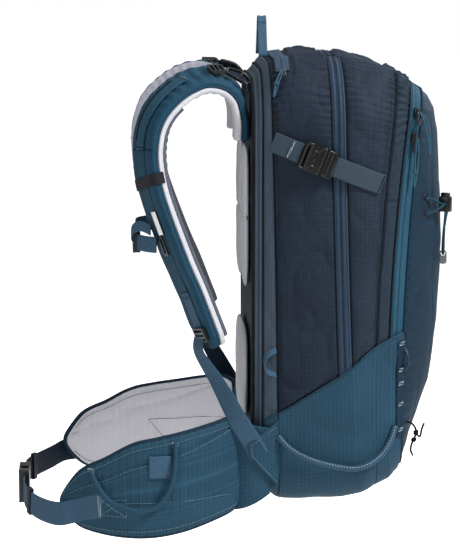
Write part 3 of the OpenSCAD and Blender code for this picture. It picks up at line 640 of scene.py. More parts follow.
for name, (s, reach, lift, radius, look) in seams.items():
    if 1 < s < 7:
        reach = min(reach, sideV(s, lookUp(s, bootSeam) - 4))
    tube(name, alongStation(s, reach, lift), radius, look)
for name, (s, lift, look) in seamThreads.items():
    reach = min(0.8, sideV(s, lookUp(s, bootSeam) + 2))
    stitches(name, [alongStation(s, reach, lift)], look, 2.2, 1.3, 0.4)
crossRise = [(5 + 0.98 * i / 8, sideV(5.5, 381 - i)) for i in range(9)]
stitches("crossSeamThread", [[skin(s, side * v, 1.0) for s, v in crossRise] for side in (-1, 1)], "black", 2, 1.2,
         0.45)
print("seams made")


# Long soft pieces: a path with the direction of its width at each point
def steps(path):
    last = len(path) - 1
    return [(path[min(i + 1, last)] - path[max(i - 1, 0)]).normalized() for i in range(len(path))]


def rolledDirs(path, rolls):
    out = []
    for t, roll in zip(steps(path), rolls):
        n = Vector((1, 0, 0)).cross(t).normalized()
        w = t.cross(n)
        out.append(math.cos(math.radians(roll)) * w + math.sin(math.radians(roll)) * n)
    return out


def flipped(p):
    return Vector((-p[0], p[1], p[2]))


class Run:
    def __init__(self, path, dirs, half, normals=None):
        self.path, self.dirs, self.half = path, dirs, half
        self.normals = normals or [d.cross(t).normalized() for d, t in zip(dirs, steps(path))]
        self.lengths = [0]
        for a, b in zip(path, path[1:]):
            self.lengths.append(self.lengths[-1] + (b - a).length)

    def split(self, b):
        n = len(self.path) - 1
        i = min(int(b * n), n - 1)
        return i, b * n - i

    def at(self, b, k, o):
        i, f = self.split(b)
        p, d = self.path[i].lerp(self.path[i + 1], f), self.dirs[i].lerp(self.dirs[i + 1], f)
        half = self.half[i] * (1 - f) + self.half[i + 1] * f
        return p + d * (k * half) + self.normals[i].lerp(self.normals[i + 1], f) * o

    def spot(self, b):
        i, f = self.split(b)
        return self.lengths[i] + (self.lengths[i + 1] - self.lengths[i]) * f

    def mirrored(self):
        return Run([flipped(p) for p in self.path], [flipped(d) for d in self.dirs], self.half,
                   [flipped(n) for n in self.normals])

    def part(self, low, high, half):
        return Run(self.path[low:high], self.dirs[low:high], half, self.normals[low:high])

    def line(self, b0, b1, k, o, count=60):
        return [self.at(b0 + (b1 - b0) * i / count, k, o) for i in range(count + 1)]


def strip(name, run, lo, hi, look, nodes=(), around=24, step=2.0, square=0.35, shape=None):
    count = max(8, int(run.lengths[-1] / step))
    width = 2 * max(run.half)

    def place(a, b):
        g = 2 * math.pi * (a % 1)
        k = math.copysign(abs(math.cos(g)) ** square, math.cos(g))
        e = math.copysign(abs(math.sin(g)) ** (square * 1.3), math.sin(g))
        o = (lo + hi) / 2 + e * (hi - lo) / 2
        if shape:
            k, o = shape(b, k, e, o)
        return run.at(b, k, o)

    def lay(a, b):
        c = math.cos(2 * math.pi * a)
        across = math.copysign(abs(c) ** square, c) * width / 2000
        return across + (0.2 if a > 0.5 else 0), run.spot(b) / 1000

    made = bentGrid(name, around, count, place, lay, look, closed=True)
    return settle(made, "bag", *nodes)


# Builds a piece on the left and its mirror on the right; the left one stands for the nodes
def bothSides(build, nodes=()):
    build("Left", lambda run: run, nodes)
    build("Right", lambda run: run.mirrored(), ())


def evenRun(points, half, rolls=None, dirs=None, parts=8):
    path = spline(points, parts)
    n = len(points) - 1

    def grow(values):
        out = []
        for i in range(len(path)):
            k = min(i // parts, n - 1)
            out.append(values[k] * (1 - (i / parts - k)) + values[k + 1] * (i / parts - k))
        return out

    if not isinstance(half, list):
        half = [half] * (n + 1)
    if isinstance(dirs, Vector):
        dirs = [dirs] * (n + 1)
    if dirs:
        return Run(path, [d.normalized() for d in grow([Vector(d) for d in dirs])], grow(half))
    return Run(path, rolledDirs(path, grow(rolls)), grow(half))


# Shoulder pads
pads = {"halfWidth": 31, "outer": (0, 8), "lining": (-8.4, -0.2), "mesh": (-15.5, -8), "neckBand": 4.6,
        "piping": 1.3, "outerFill": 0.6, "liningFill": 0.5, "bendAt": 0.24}
padPath = [(-68, 25, 447), (-69, 25, 472), (-71, 31, 498), (-74, 46, 514), (-79, 68, 520), (-84, 90, 514),
           (-89, 110, 501), (-93, 126, 484), (-96, 136, 463), (-99, 140, 436), (-102, 138, 409), (-104, 133, 385),
           (-106, 124, 357), (-109, 113, 327), (-112, 101, 296), (-115, 88, 266), (-118, 76, 235), (-120, 66, 211),
           (-120, 60, 198)]
padRoll = [0, 0, 3, 8, 14, 18, 20] + [22] * 12
padShare = [0.8] + [1] * 16 + [0.93, 0.62]
padSpans = len(padPath) - 1
padRun = evenRun(padPath, [pads["halfWidth"] * share for share in padShare], rolls=padRoll)


def bend(b, spread):
    return math.exp(-((b - pads["bendAt"]) / spread) ** 2)


def strapShape(b, k, e, o):
    if e > 0:
        centre = math.exp(-(k / 0.06) ** 2) * (1 if b > 0.3 else b / 0.3)
        edge = math.exp(-((1 - abs(k)) / 0.11) ** 2)
        o += 1.6 - 2.6 * centre - 2.2 * edge
        ripple = math.sin(b * 210 + 3 * wave((k * 20, b * 300, 0), 30, 9))
        o += bend(b, 0.13) * 1.5 * ripple * (1 - abs(k) ** 4)
        o += 0.9 * wave((k * 31, b * 480, 4), 22, 12)
    return k, o


def liningShape(b, k, e, o):
    if e < 0:
        o += -1.0 + 1.4 * math.exp(-((1 - abs(k)) / 0.15) ** 2)
        ripple = 0.5 + 0.5 * math.sin(b * 160 + 2 * wave((k * 30, b * 300, 0), 40, 19))
        o -= bend(b, 0.12) * 2.4 * ripple * (1 - abs(k) ** 4)
    return k, o


def neckShape(b, k, e, o):
    return k, o + 0.5 * math.sin(b * 260) * bend(b, 0.14)


def buildPads(side, turn, nodes):
    run = turn(padRun)
    count = len(run.path)
    padNode = "strap_l" if side == "Left" else "strap_r"
    outer = strip("shoulderPad" + side, run, *pads["outer"], "strap", nodes=(padNode,), around=44, step=2.2,
                  shape=strapShape, square=0.3)
    wide = Run(run.path, run.dirs, [h + 1 for h in run.half], run.normals)
    under = strip("shoulderLining" + side, wide, *pads["lining"], "lining", nodes=nodes, around=44, step=2.2,
                  shape=liningShape, square=0.3)
    low, high = int(0.34 * count), int(0.97 * count)
    inner = run.part(low, high, [h * 0.8 for h in run.half[low:high]])
    strip("shoulderMesh" + side, inner, *pads["mesh"], "inner", around=20, shape=liningShape)
    spots = [i / 150 for i in range(3, 148)]
    neck = [run.at(b, 1.0, 1.8) for b in spots]
    neckDirs = [run.normals[min(count - 1, int(b * count))] for b in spots]
    strip("shoulderNeckEdge" + side, Run(neck, neckDirs, [pads["neckBand"]] * len(spots)), -2.4, 2.4, "liningEdge",
          around=16, step=2.2, shape=neckShape)
    for k, edgeName in ((-0.985, "Out"), (0.985, "In")):
        tube("shoulderPiping" + side + edgeName, run.line(0.0, 0.985, k, 1.2, 200), pads["piping"], "strap")
    threadRows = [run.line(0.02, 0.97, k, 7.4, 240) for k in (-0.84, 0.84)]
    stitches("shoulderThread" + side, threadRows, "darkThread", 2.2, 1.4, 0.35)


bothSides(buildPads, ("linings",))
print("shoulder pads made")

# Webbing and the keeper band on the pads
keeper = {"at": 10.45, "halfWidth": 7, "thick": 0.7, "reach": 1.08, "height": 9.6}
padWebs = {"padWebbing": (5, 9, 20, (8.6, 11.2), "strapWebbing"), "padWebbingLow": (15, 17, 23, (8.6, 10.4), "webbing"),
           "padWebbingMiddle": (9, 15, 20, (8.4, 9.6), "strap")}


def ribbonOn(name, nodes=()):
    first, last, width, band, look = padWebs[name]

    def build(side, turn, used):
        low, high = first * 8, last * 8 + 1
        run = turn(padRun).part(low, high, [width / 2] * (high - low))
        strip(name + side, run, *band, look, nodes=used, around=16)

    bothSides(build, nodes)


def wrapBand(side, turn, used):
    run = turn(padRun)
    b, spots, dirs = keeper["at"] / padSpans, [], []
    for i in range(49):
        g = 2 * math.pi * i / 48 - math.pi / 2
        c, s = math.cos(g), math.sin(g)
        k = math.copysign(abs(c) ** 0.5, c) * keeper["reach"]
        o = 1.2 + math.copysign(abs(s) ** 0.6, s) * keeper["height"]
        spots.append(run.at(b + 0.006 * k, k, o))
        dirs.append((run.at(b + 0.01, k, o) - run.at(b - 0.01, k, o)).normalized())
    strip("shoulderKeeper" + side, Run(spots, dirs, [keeper["halfWidth"]] * 49), -keeper["thick"], keeper["thick"],
          "elastic", nodes=used, around=16, step=1.5)


# Painted shade: a black tube in the gap where the webbing stands off the pad
def padSlot(side, turn, used):
    slot = turn(padRun).line(5.5 / padSpans, 8.6 / padSpans, 0.38, 9.7)
    tube("padSlot" + side, slot, 1.7, "black")


bothSides(wrapBand, ("strap_keepers",))
ribbonOn("padWebbing", ("tube_strip",))
bothSides(padSlot)
ribbonOn("padWebbingLow")
ribbonOn("padWebbingMiddle")

# Webbing below the pads, load lifters and their frames
webHalf = 0.8
lowerPath = [(-121.5, 76, 216), (-123.5, 80, 202), (-125, 79, 190), (-127, 71, 176), (-131, 58, 156),
             (-139, 43, 129), (-142.8, 30, 105), (-138.8, 17, 84), (-137.4, 6, 63)]
lowerRun = evenRun(lowerPath, 12.5, rolls=[22, 24, 28, 36, 46, 62, 74, 80, 84])
lifter = {"halfWidth": 10, "frameFrom": 0.36, "frameMiddle": 0.66, "frameTo": 0.97, "frameBar": 1.7, "proud": 2.2}
liftPath = [(-84, 17, 503), (-84, 18, 514), (-83, 27, 523), (-81, 44, 530)]
liftRun = evenRun(liftPath, lifter["halfWidth"], rolls=[0, 18, 34, 14])
liftUp = lifter["proud"] if liftRun.normals[12][2] > 0 else -lifter["proud"]


def lowerWebbing(side, turn, used):
    # The far side's lower webbing takes the darker webbing colour as painted shade
    look = "webbing" if side == "Left" else "darkWebbing"
    strip("lowerWebbing" + side, turn(lowerRun), -webHalf, webHalf, look, nodes=used, around=16)


def lifterWebbing(side, turn, used):
    strip("lifterWebbing" + side, turn(liftRun), -webHalf, webHalf, "darkWebbing", nodes=used, around=16)


def lifterFrame(side, turn, used):
    run = turn(liftRun)
    bars = [run.line(lifter["frameFrom"], lifter["frameTo"], k, liftUp, 12) for k in (-0.8, 0.8)]
    for b in (lifter["frameFrom"], lifter["frameMiddle"], lifter["frameTo"]):
        bars.append([run.at(b, k, liftUp) for k in (-0.8, 0, 0.8)])
    tube("lifterFrame" + side, bars, lifter["frameBar"], "plastic")


bothSides(lowerWebbing, ("lower_webs",))
bothSides(lifterWebbing, ("lifter_webs",))
bothSides(lifterFrame)

# Hard pieces: the CAD shape with rounded edges; piece, CAD node, look, body
edgeRound = {"metal": 0.25, "other": 0.6}
hardPieces = (
    ("ladderLocks", "ladder_locks", "plastic", "bag"), ("lifterLocks", "lifter_locks", "plastic", "bag"),
    ("sideBuckleSockets", "comp_females", "plastic", "bag"),
    ("sideBucklePlugLeft", "comp_male_l", "plastic", "comp_plug_l"),
    ("sideBucklePlugRight", "comp_male_r", "plastic", "comp_plug_r"),
    ("chestSocket", "chest_female", "plastic", "bag"), ("chestPlug", "chest_male", "plastic", "chest_plug"),
    ("chestSlides", "chest_slides", "plastic", "bag"), ("hipSocket", "hip_female", "plastic", "bag"),
    ("hipPlug", "hip_male", "plastic", "hip_plug"), ("cordLock", "cord_lock", "plastic", "bag"),
    ("cordLockButton", "lock_button", "plastic", "button"), ("cordClip", "cord_clip", "greyPlastic", "bag"),
    ("eyelets", "eyelets", "metal", "bag"), ("topSlider", "slider_top", "metal", "slider_top"),
    ("pocketSliderUpper", "slider_pocket_a", "metal", "slider_pocket_a"),
    ("pocketSliderLower", "slider_pocket_b", "metal", "slider_pocket_b"),
    ("mainSlider", "slider_main", "metal", "slider_main"), ("backSlider", "slider_back", "metal", "slider_back"),
    ("frameSheet", "frame_sheet", "sheet", "bag"), ("frameStays", "stays", "alloy", "bag"),
    ("pocketDivider", "divider", "navyDeep", "bag"), ("hipKeepers", "hip_keepers", "elastic", "bag"))


def hardCopy(name, nodeName, look, body):
    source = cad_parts[nodeName]
    bm = bmesh.new()
    bm.from_mesh(source.data)
    bm.transform(source.matrix_world)
    bmesh.ops.remove_doubles(bm, verts=bm.verts, dist=2e-5)
    bmesh.ops.dissolve_limit(bm, angle_limit=0.03, verts=bm.verts, edges=bm.edges)
    bm.normal_update()
    made = finishMesh(name, bm, look)
    edges = made.modifiers.new("edges", "BEVEL")
    edges.width = edgeRound.get(look, edgeRound["other"]) / 1000
    edges.segments = 3
    edges.limit_method = "ANGLE"
    edges.angle_limit = 0.6
    edges.harden_normals = True
    return settle(made, body, nodeName)


for piece in hardPieces:
    hardCopy(*piece)
print("hard pieces made")

# Back door with its pads
door = {"centre": 275, "y": 13.4, "thick": 1.6, "binding": 1.9, "around": 240, "padFrom": 13.9, "padFill": 0.7}


def ringPoint(v, grow, y):
    p = raw(0, wrap(v))
    return Vector((p[0] * (1 + grow / 118), y, door["centre"] + (p[2] - door["centre"]) * (1 + grow / 245)))


backTable = ringTable(0, -1, 1, door["around"])[0]


def backPlace(a, b):
    edge = ringPoint(backTable[min(door["around"], round(a * door["around"]))], 1.5, 0)
    p = Vector((0, 0, door["centre"])).lerp(edge, 1 - b)
    y = door["y"] + 0.8 * math.exp(-(b * 100 - 4) ** 2 / 9) - 2.6 * math.exp(-(b * 100) / 2.0)
    return Vector((p[0], y + 0.6 * wave(p, 40, 31), p[2]))


def flatLay(place):
    return lambda a, b: (place(a, b)[0] / 1000, place(a, b)[2] / 1000)


made = bentGrid("backCloth", door["around"], 60, backPlace, flatLay(backPlace), "navyDeep")
if sum(f.normal[1] for f in made.data.polygons) < 0:
    made.data.flip_normals()
settle(thicken(made, door["thick"]), "bag", "back_panel")
tube("backBinding", [ringPoint(v, 0.4, 12.4) for v in backTable], door["binding"], "black")


def upperGroove(x, z):
    return 2.2 * math.exp(-((z - 350) / 3) ** 2)


def lumbarGroove(x, z):
    return 2.6 * math.exp(-(x / 3) ** 2)


def cushion(name, x0, x1, z0, z1, thick, nodes, groove):
    def place(a, b):
        g = 2 * math.pi * (a % 1)
        r = math.sin(math.pi * b) ** 0.55
        c, s = math.cos(g), math.sin(g)
        square = (abs(c) ** 4.5 + abs(s) ** 4.5) ** (-1 / 4.5)
        x = (x0 + x1) / 2 + (x1 - x0) / 2 * r * c * square
        z = (z0 + z1) / 2 + (z1 - z0) / 2 * r * s * square
        lift = -math.cos(math.pi * b)
        y = door["padFrom"] + thick / 2 + math.copysign(abs(lift) ** 0.75, lift) * thick / 2
        if lift > 0:
            y += 0.7 * wave((x, 0, z), 30, 37) - groove(x, z)
            y -= 0.5 * abs(math.sin(x / 3.2)) * abs(math.sin(z / 3.2)) * min(1, lift * 2)
        return Vector((x, y, z))

    made = bentGrid(name, 120, 60, place, flatLay(place), "lining", closed=True)
    return settle(made, "bag", *nodes)


cushion("backPadLeft", -84, -18, 262, 438, 9.5, ("upper_pads",), upperGroove)
cushion("backPadRight", 18, 84, 262, 438, 9.5, (), upperGroove)
cushion("lumbarPad", -84, 84, 90, 208, 11, ("lumbar_pad",), lumbarGroove)
print("back made")

# Haul loop of folded webbing
haul = {"foot": 29.5, "bendRadius": 10.5, "y": -5, "low": 545, "high": 582, "halfWidth": 5.5, "halfThick": 1.5}
haulPath = [(-haul["foot"], haul["y"], haul["low"])]
for g in range(180, -1, -20):
    haulPath.append((haul["bendRadius"] * math.cos(math.radians(g)), haul["y"],
                     haul["high"] + haul["bendRadius"] * math.sin(math.radians(g))))
haulPath.append((haul["foot"], haul["y"], haul["low"]))
haulRun = evenRun(haulPath, haul["halfWidth"], dirs=Vector((0, 1, 0)), parts=6)


def haulShape(b, k, e, o):
    return k, o - 0.9 * math.exp(-(k / 0.12) ** 2) * (1 if e > 0 else -1)


strip("haulLoop", haulRun, -haul["halfThick"], haul["halfThick"], "webbing", nodes=("haul_loop",), around=20, step=1.5,
      shape=haulShape)

# Corner wings at the foot of the shoulder webbing: outline in y and z, tucked in towards the front
wings = {"tuck": 5, "thick": 1.2, "edge": 1.3, "middle": 64, "inset": 0.86}
wingShape = [(19, 77), (-17, 104), (-19, 60), (-18, 24), (17, 63)]


def buildWing(side, x, sign, proud, threadProud, nodes):
    def wingPlace(a, b):
        top = Vector((x, 19, 77)).lerp(Vector((x, -18, 106)), a)
        low = Vector((x, 17, 62)).lerp(Vector((x, -18, 22)), a)
        out = proud - wings["tuck"] * a * a + 0.6 * wave((a * 30, b * 30, 3), 14, 51)
        return low.lerp(top, b) + Vector((sign * out, 0, 0))

    def tucked(y, out):
        return x + sign * (out - wings["tuck"] * ((19 - y) / 37) ** 2)

    made = bentGrid("cornerWing" + side, 24, 24, wingPlace, lambda a, b: (0.036 * a, 0.06 * b), "teal", outward=True)
    settle(thicken(made, wings["thick"]), "bag", *nodes)
    inset = []
    for y, z in wingShape:
        height = wings["middle"] + (z - wings["middle"]) * wings["inset"]
        inset.append(Vector((tucked(y, threadProud), y * wings["inset"], height)))
    stitches("wingThread" + side, [[inset[3], inset[4], inset[0], inset[1]]], "softThread", 2.2, 1.5, 0.35)
    rim = [Vector((tucked(y, 0.4), y, z)) for y, z in wingShape + wingShape[:1]]
    tube("wingEdge" + side, rim, wings["edge"], "teal")


buildWing("Left", -139.6, -1, 1, 2.2, ("wings",))
buildWing("Right", 137.6, 1, 2, 4.2, ())

# Side compression webbing, slanting down and forward
tilt = math.radians(21.6)
compDown = Vector((0, -math.sin(tilt), math.cos(tilt)))
compAlong = Vector((0, -math.cos(tilt), -math.sin(tilt)))
compFrom = Vector((-148.5, -44, 435.5))
compSteps = ((31, 0), (46, 0), (66, 0), (84, 2.2), (98, 5.4), (106, 9.2))
compRear = evenRun([(-135.5, -10, 449), (-142, -24, 443.4), (-148.5, -43.3, 435.8)], 12.5, dirs=compDown)
compFront = evenRun([compFrom + compAlong * d + Vector((r, 0, 0)) for d, r in compSteps], 12.5, dirs=compDown)


def sideWebbing(part, run):
    def build(side, turn, used):
        strip("sideWebbing" + part + side, turn(run), -webHalf, webHalf, "greyWebbing", nodes=used, around=16, step=1.5)

    bothSides(build, ("comp_webs",))


sideWebbing("Rear", compRear)
sideWebbing("Front", compFront)

# Sternum strap
chestUp = Vector((0, 0, 1))
chestLeft = evenRun([(-74.4, 153, 320), (-82, 150, 320), (-96, 141, 320), (-104, 130, 320)], 10, dirs=chestUp)
chestRight = evenRun([(-44, 153, 320), (0, 153.3, 319.2), (60, 153, 320), (82, 150, 320), (96, 141, 320),
                      (104, 130, 320)], 10, dirs=chestUp)
strip("chestWebbingLeft", chestLeft, -webHalf, webHalf, "webbing", nodes=("chest_web_l",), around=16)
strip("chestWebbingRight", chestRight, -webHalf, webHalf, "webbing", nodes=("chest_web_r",), around=16)

# Hip fins; each column is x, y, top z and low z
fin = {"outer": (0, 9), "lining": (-2.75, -0.3), "outerFill": 0.6, "liningFill": 0.5, "binding": 3.2, "rootThick": 1.5}
finCols = [(-88, 26, 104, 14), (-110, 27.2, 106, 6), (-127, 42, 109, -6), (-143, 66, 104, -14), (-155, 98, 97, -23),
           (-162, 130, 91, -28), (-162, 160, 84, -29), (-156, 192, 66, -26), (-145, 222, 49, -19), (-132, 246, 22, -6)]
farLift = list(enumerate((0, 0, 0, 0, 0, 0, 0, 3, 8, 15)))
finLast = len(finCols) - 1
finTop = spline([Vector(c[:3]) for c in finCols], 10)
finLow = spline([Vector((c[0], c[1], c[3])) for c in finCols], 10)
quilt = [[(2.0, 0.93), (4.5, 0.80), (7.2, 0.74), (8.6, 0.70)], [(2.4, 0.24), (4.6, 0.36), (7.0, 0.42), (8.6, 0.44)]]


def between(low, high, count):
    return [low + (high - low) * i / count for i in range(count + 1)]


def finRow(c):
    i = min(int(c * 10), 89)
    f = c * 10 - i
    return finTop[i].lerp(finTop[i + 1], f), finLow[i].lerp(finLow[i + 1], f)


def finPoint(c, z, o, far=False):
    a, b = finRow(max(0, c - 0.4))[0], finRow(min(finLast, c + 0.4))[0]
    p = finRow(c)[0]
    out = Vector((-(b[1] - a[1]), b[0] - a[0], 0)).normalized()
    return Vector((p[0], p[1], z)) + out * o + Vector((0, 0, lookUp(c, farLift) if far else 0))


def finAt(c, k, o, far):
    top, low = finRow(c)
    return finPoint(c, low[2] + (top[2] - low[2]) * k, o, far)


def quiltGap(c, k):
    gaps = [abs(k - lookUp(c, line)) * 100 for line in quilt if line[0][0] <= c <= line[-1][0]]
    return min(gaps + [99])


def tip(col):
    return max(0.12, math.sqrt(max(0, 1 - (max(0, col - 7.9) / 1.12) ** 2)))


def ownSide(far):
    return flipped if far else Vector


def finShell(name, band, look, outside, far):
    lo, hi = band

    def place(a, b):
        g = 2 * math.pi * (a % 1)
        c, s = math.cos(g), math.sin(g)
        e = math.copysign(abs(s) ** 0.5, s)
        col = finLast * b
        k = 0.5 + 0.5 * math.copysign(abs(c) ** 0.42, c) * tip(col)
        o = (lo + hi) / 2 + e * (hi - lo) / 2
        if (e > 0) == outside:
            rim = min(k, 1 - k) * 100
            gap = quiltGap(col, k)
            o += (1.8 if outside else -1.4) * (1 - math.exp(-rim / 10)) * (1 - max(0, col - 8))
            o += (-1 if outside else 1) * 2.4 * math.exp(-(gap / 2.0) ** 2)
            o += 1.1 * wave((col * 30, k * 100, 5), 26, 41) * min(1, rim / 8)
            ripple = math.sin(col * 20 + 2 * wave((col * 20, k * 90, 0), 30, 42))
            o += 0.5 * math.exp(-min(gap, rim) / 8) * ripple
        return ownSide(far)(finAt(col, k, o, far))

    def lay(a, b):
        return 0.1 * (0.5 + 0.5 * math.cos(2 * math.pi * a)) + (0.3 if a > 0.5 else 0), 0.3 * b

    return bentGrid(name, 90, 170, place, lay, look, closed=True)


def buildFin(side, far, nodes):
    turn = ownSide(far)

    def rimRow(share, cols, o):
        return [turn(finAt(c, 0.5 + share * tip(c), o, far)) for c in cols]

    def rootPlace(a, b):
        p = Vector((-124, 40, 0)).lerp(Vector((-133.5, -8, 0)), a) + Vector((-7 * math.sin(math.pi * a), 0, 0))
        z = (-8 + 22 * a ** 1.6) * (1 - b) + (106 - 10 * a) * b
        return turn(Vector((p[0] + 1.2 * wave((a * 40, b * 60, 8), 18, 61), p[1], z)))

    outer = finShell("hipFin" + side, fin["outer"], "teal", True, far)
    settle(outer, "bag", "fin_r" if far else "fin_l")
    inner = finShell("hipFinLining" + side, fin["lining"], "lining", False, far)
    settle(inner, "bag", *nodes)
    cols = [finLast * i / 90 for i in range(91)]
    tube("hipFinBinding" + side, rimRow(0.5, cols, 3.4) + rimRow(-0.5, cols[::-1], 3.4), fin["binding"], "front",
         sides=5)
    made = bentGrid("hipFinRoot" + side, 30, 40, rootPlace, lambda a, b: (0.05 * a, 0.1 * b), "teal", outward=True)
    settle(thicken(made, fin["rootThick"]), "bag")
    threadRows = []
    for line in quilt:
        cols = between(line[0][0], line[-1][0], 80)
        threadRows.append([turn(finAt(c, lookUp(c, line) - 0.02, 10.6, far)) for c in cols])
    threadRows += [rimRow(share, between(1.9, 8.8, 120), 10.2) for share in (-0.44, 0.44)]
    stitches("hipFinThread" + side, threadRows, "softThread", 2.4, 1.7, 0.36)
    inside = [rimRow(share, between(1.6, 8.6, 120), -4.2) for share in (-0.43, 0.43)]
    inside.append([turn(finAt(c, lookUp(c, [(1, 0.5), (5.2, 0.62)]), -4.6, far)) for c in between(1, 5.2, 60)])
    inside.append([turn(finAt(5.2 - 1.2 * f, 0.62 - 0.42 * f, -4.6, far)) for f in between(0, 1, 20)])
    stitches("hipFinInnerThread" + side, inside, "darkThread", 2.2, 1.7, 0.36)


buildFin("Left", False, ("fin_linings",))
buildFin("Right", True, ())
print("hip fins made")


# Hip webbing, from the fin round to the buckle
def hipRun(up, far):
    points = []
    for c, z in ((7.1, 9), (7.6, 6), (8.2, 0), (8.8, -5)):
        points.append(finPoint(c, z, 10.85 + (2.5 if c > 8.5 else 0)) + Vector((0, 0, up * lookUp(c, [(7, 0), (9, 13)]))))
    points += [Vector((-122, 266, -8 + up * 11)), Vector((-94, 283, -7 + up * 8)), Vector((-66, 294, -3 + up * 4))]
    points += [Vector((x, 297, 2)) for x in ((-44, -4) if far else (-50, -37.2))]
    run = evenRun(points, 15, dirs=Vector((0, 0, 1)), parts=6)
    return run.mirrored() if far else run


strip("hipWebbingLeft", hipRun(0, False), -webHalf, webHalf, "webbing", nodes=("hip_web_l",), around=16)
# The far hip webbing takes the darker webbing colour as painted shade
strip("hipWebbingRight", hipRun(1, True), -webHalf, webHalf, "darkWebbing", nodes=("hip_web_r",), around=16)

# Gear loop on the left fin: column, height and how far it stands off
gearRadius = 3.2
gearSpots = ((7.5, 52, 3.3), (7.35, 42, 6), (7.1, 29, 8), (6.8, 18, 9), (6.3, 10, 10), (5.7, 6, 10.5),
             (5.2, 10, 10.5), (4.85, 22, 10), (4.6, 40, 9), (4.5, 58, 7.5), (4.45, 74, 5.5), (4.45, 88, 3.3))
gearPath = spline([finPoint(c, z, 9 + o) for c, z, o in gearSpots], 6)
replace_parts(tube("gearLoop", gearPath, gearRadius, "teal", sides=5), "gear_loop")

# Ski loops: station, height and how far they stand off
skiRadius = 3.7
skiSpots = ((2.03, 86, 5), (2.1, 77, 6.4), (2.3, 65, 8), (2.6, 55, 9.5), (2.95, 50, 9.5), (3.9, 50, 9.5),
            (4.4, 52, 9.5), (4.9, 58, 9.5), (5.6, 70, 9), (6, 82, 8), (6.25, 96, 6))
skiPath = spline([left(s, z, o) for s, z, o in skiSpots], 8)
for k in range(70):
    inner = [(a + b * 2 + c) / 4 for a, b, c in zip(skiPath, skiPath[1:], skiPath[2:])]
    skiPath = [skiPath[0]] + inner + [skiPath[-1]]


def onSide(p, sign):
    return Vector((p[0] * sign, p[1], p[2]))


for side, sign in (("Left", 1), ("Right", -1)):
    path = [onSide(p, sign) for p in skiPath]
    made = tube("skiLoop" + side, path, skiRadius, "webbing", sides=6)
    if sign == 1:
        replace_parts(made, "ski_loops")
    seam = [p + Vector((-sign * 3.0, -0.6, 2.2)) for p in path]
    stitches("skiLoopThread" + side, [seam], "thread", 2.0, 1.5, 0.4)
print("loops made")

# Ladder of webbing beside the front pocket
daisy = {"top": 200, "length": 118, "from": 6.42, "width": 0.51, "thick": 1.3, "tacks": (198, 165, 148, 122, 90)}
daisyLoop = [left(s, z, o) for s, z, o in ((6.9, 191, 4.8), (6.92, 186, 9.5), (6.92, 178, 12), (6.92, 170, 9.5),
                                           (6.9, 165, 4.8))]
edgeLoop = [(-133.5, -15, 194), (-135.4, -7, 190), (-135.8, -1, 183), (-135.8, 0, 176), (-135.8, -3, 168),
            (-135, -9, 165), (-133.5, -15, 163)]


def buildDaisy(side, sign, nodes):
    def daisyPlace(a, b):
        s, z = daisy["from"] + daisy["width"] * a, daisy["top"] - daisy["length"] * b
        return skin(s, sign * sideV(s, z), 4.6 + 0.4 * math.sin(b * 40))

    made = bentGrid("daisyWebbing" + side, 6, 60, daisyPlace, lambda a, b: (0.011 * a, 0.12 * b), "front",
                    outward=True)
    settle(thicken(made, daisy["thick"]), "bag", *nodes)
    for i, z in enumerate(daisy["tacks"]):
        p, q = [skin(s, sign * sideV(s, z), 5.6) for s in (6.45, 6.9)]
        barTack("daisyTack%s%d" % (side, i), (p + q) / 2, (q - p).normalized(), Vector((0, 0, 1)), 8.5, 4)
    for name, points, half in (("daisyLoop", daisyLoop, 3.4), ("edgeLoop", edgeLoop, 4.5)):
        placed = [onSide(p, -sign) for p in points]
        flat = evenRun(placed, half, dirs=Vector((0.75 * -sign, 0.1, 0.65)), parts=6)
        strip(name + side, flat, -0.6, 0.6, "webbing", around=12, step=1.2)


buildDaisy("Left", -1, ("daisy_strips",))
buildDaisy("Right", 1, ())

# Bungee, knotted cord and pulls
bungeePoints = [(-96.5, -201.5, 374), (-91, -208.5, 373), (-86, -217, 369), (-80.4, -222.9, 365), (-79.3, -223.4, 365),
                (-63.1, -231.2, 365), (-61, -232, 363), (-58.6, -231.6, 356), (-58, -231, 346), (-58.5, -230, 334),
                (-59, -229.5, 318), (-59, -229.4, 305), (-57.4, -229.4, 300), (-55, -229.4, 299), (-52.6, -229.4, 300),
                (-51, -229.4, 305), (-51.5, -229.8, 318), (-52.2, -231, 334), (-53, -234, 352), (-56.5, -237, 361),
                (-62, -236.1, 364.7), (-64.7, -234.7, 365), (-80.9, -226.8, 365), (-82, -226, 364.5), (-88, -218, 360),
                (-93, -210, 357), (-97.5, -201.5, 355)]
knotPoints = [(-105.5, -179, 96), (-107, -185, 95), (-108, -190, 89), (-108, -191, 82), (-107.5, -189, 75),
              (-107, -186, 68), (-106.5, -185, 60), (-106, -188, 53)]
topFall = ((0, 0, 0), (-5, 2, -2), (-11, 5, -7), (-16, 8, -14), (-18.5, 10, -22), (-20, 11, -30))
upperFall = ((0, 0, 0), (-1.5, -3, -5), (-2.6, -6, -14), (-3, -9, -26), (-3.4, -11, -38), (-3.4, -12.5, -50))
lowerFall = ((0, 0, 0), (-0.6, 0, -6), (-0.4, 1, -20), (0, 1.5, -34), (0.2, 2, -48), (0.3, 2.5, -60))


def pullPoints(s, v, lift, offsets):
    p = skin(s, v, lift + 6.25)
    return [p + Vector(q) for q in offsets]


def knotCoil(path, at, diameter):
    i = int(at * (len(path) - 1))
    c = path[i]
    t = (path[min(len(path) - 1, i + 1)] - path[i - 1]).normalized()
    u = t.cross(Vector((0.3, 0.8, 0.1))).normalized()
    w = t.cross(u)
    coil = []
    for j in range(37):
        turned = (u * math.cos(j * 0.5) + w * math.sin(j * 0.5)) * diameter * 0.8
        coil.append(c + t * (diameter * 1.5 * (j / 36 - 0.5)) + turned)
    return coil


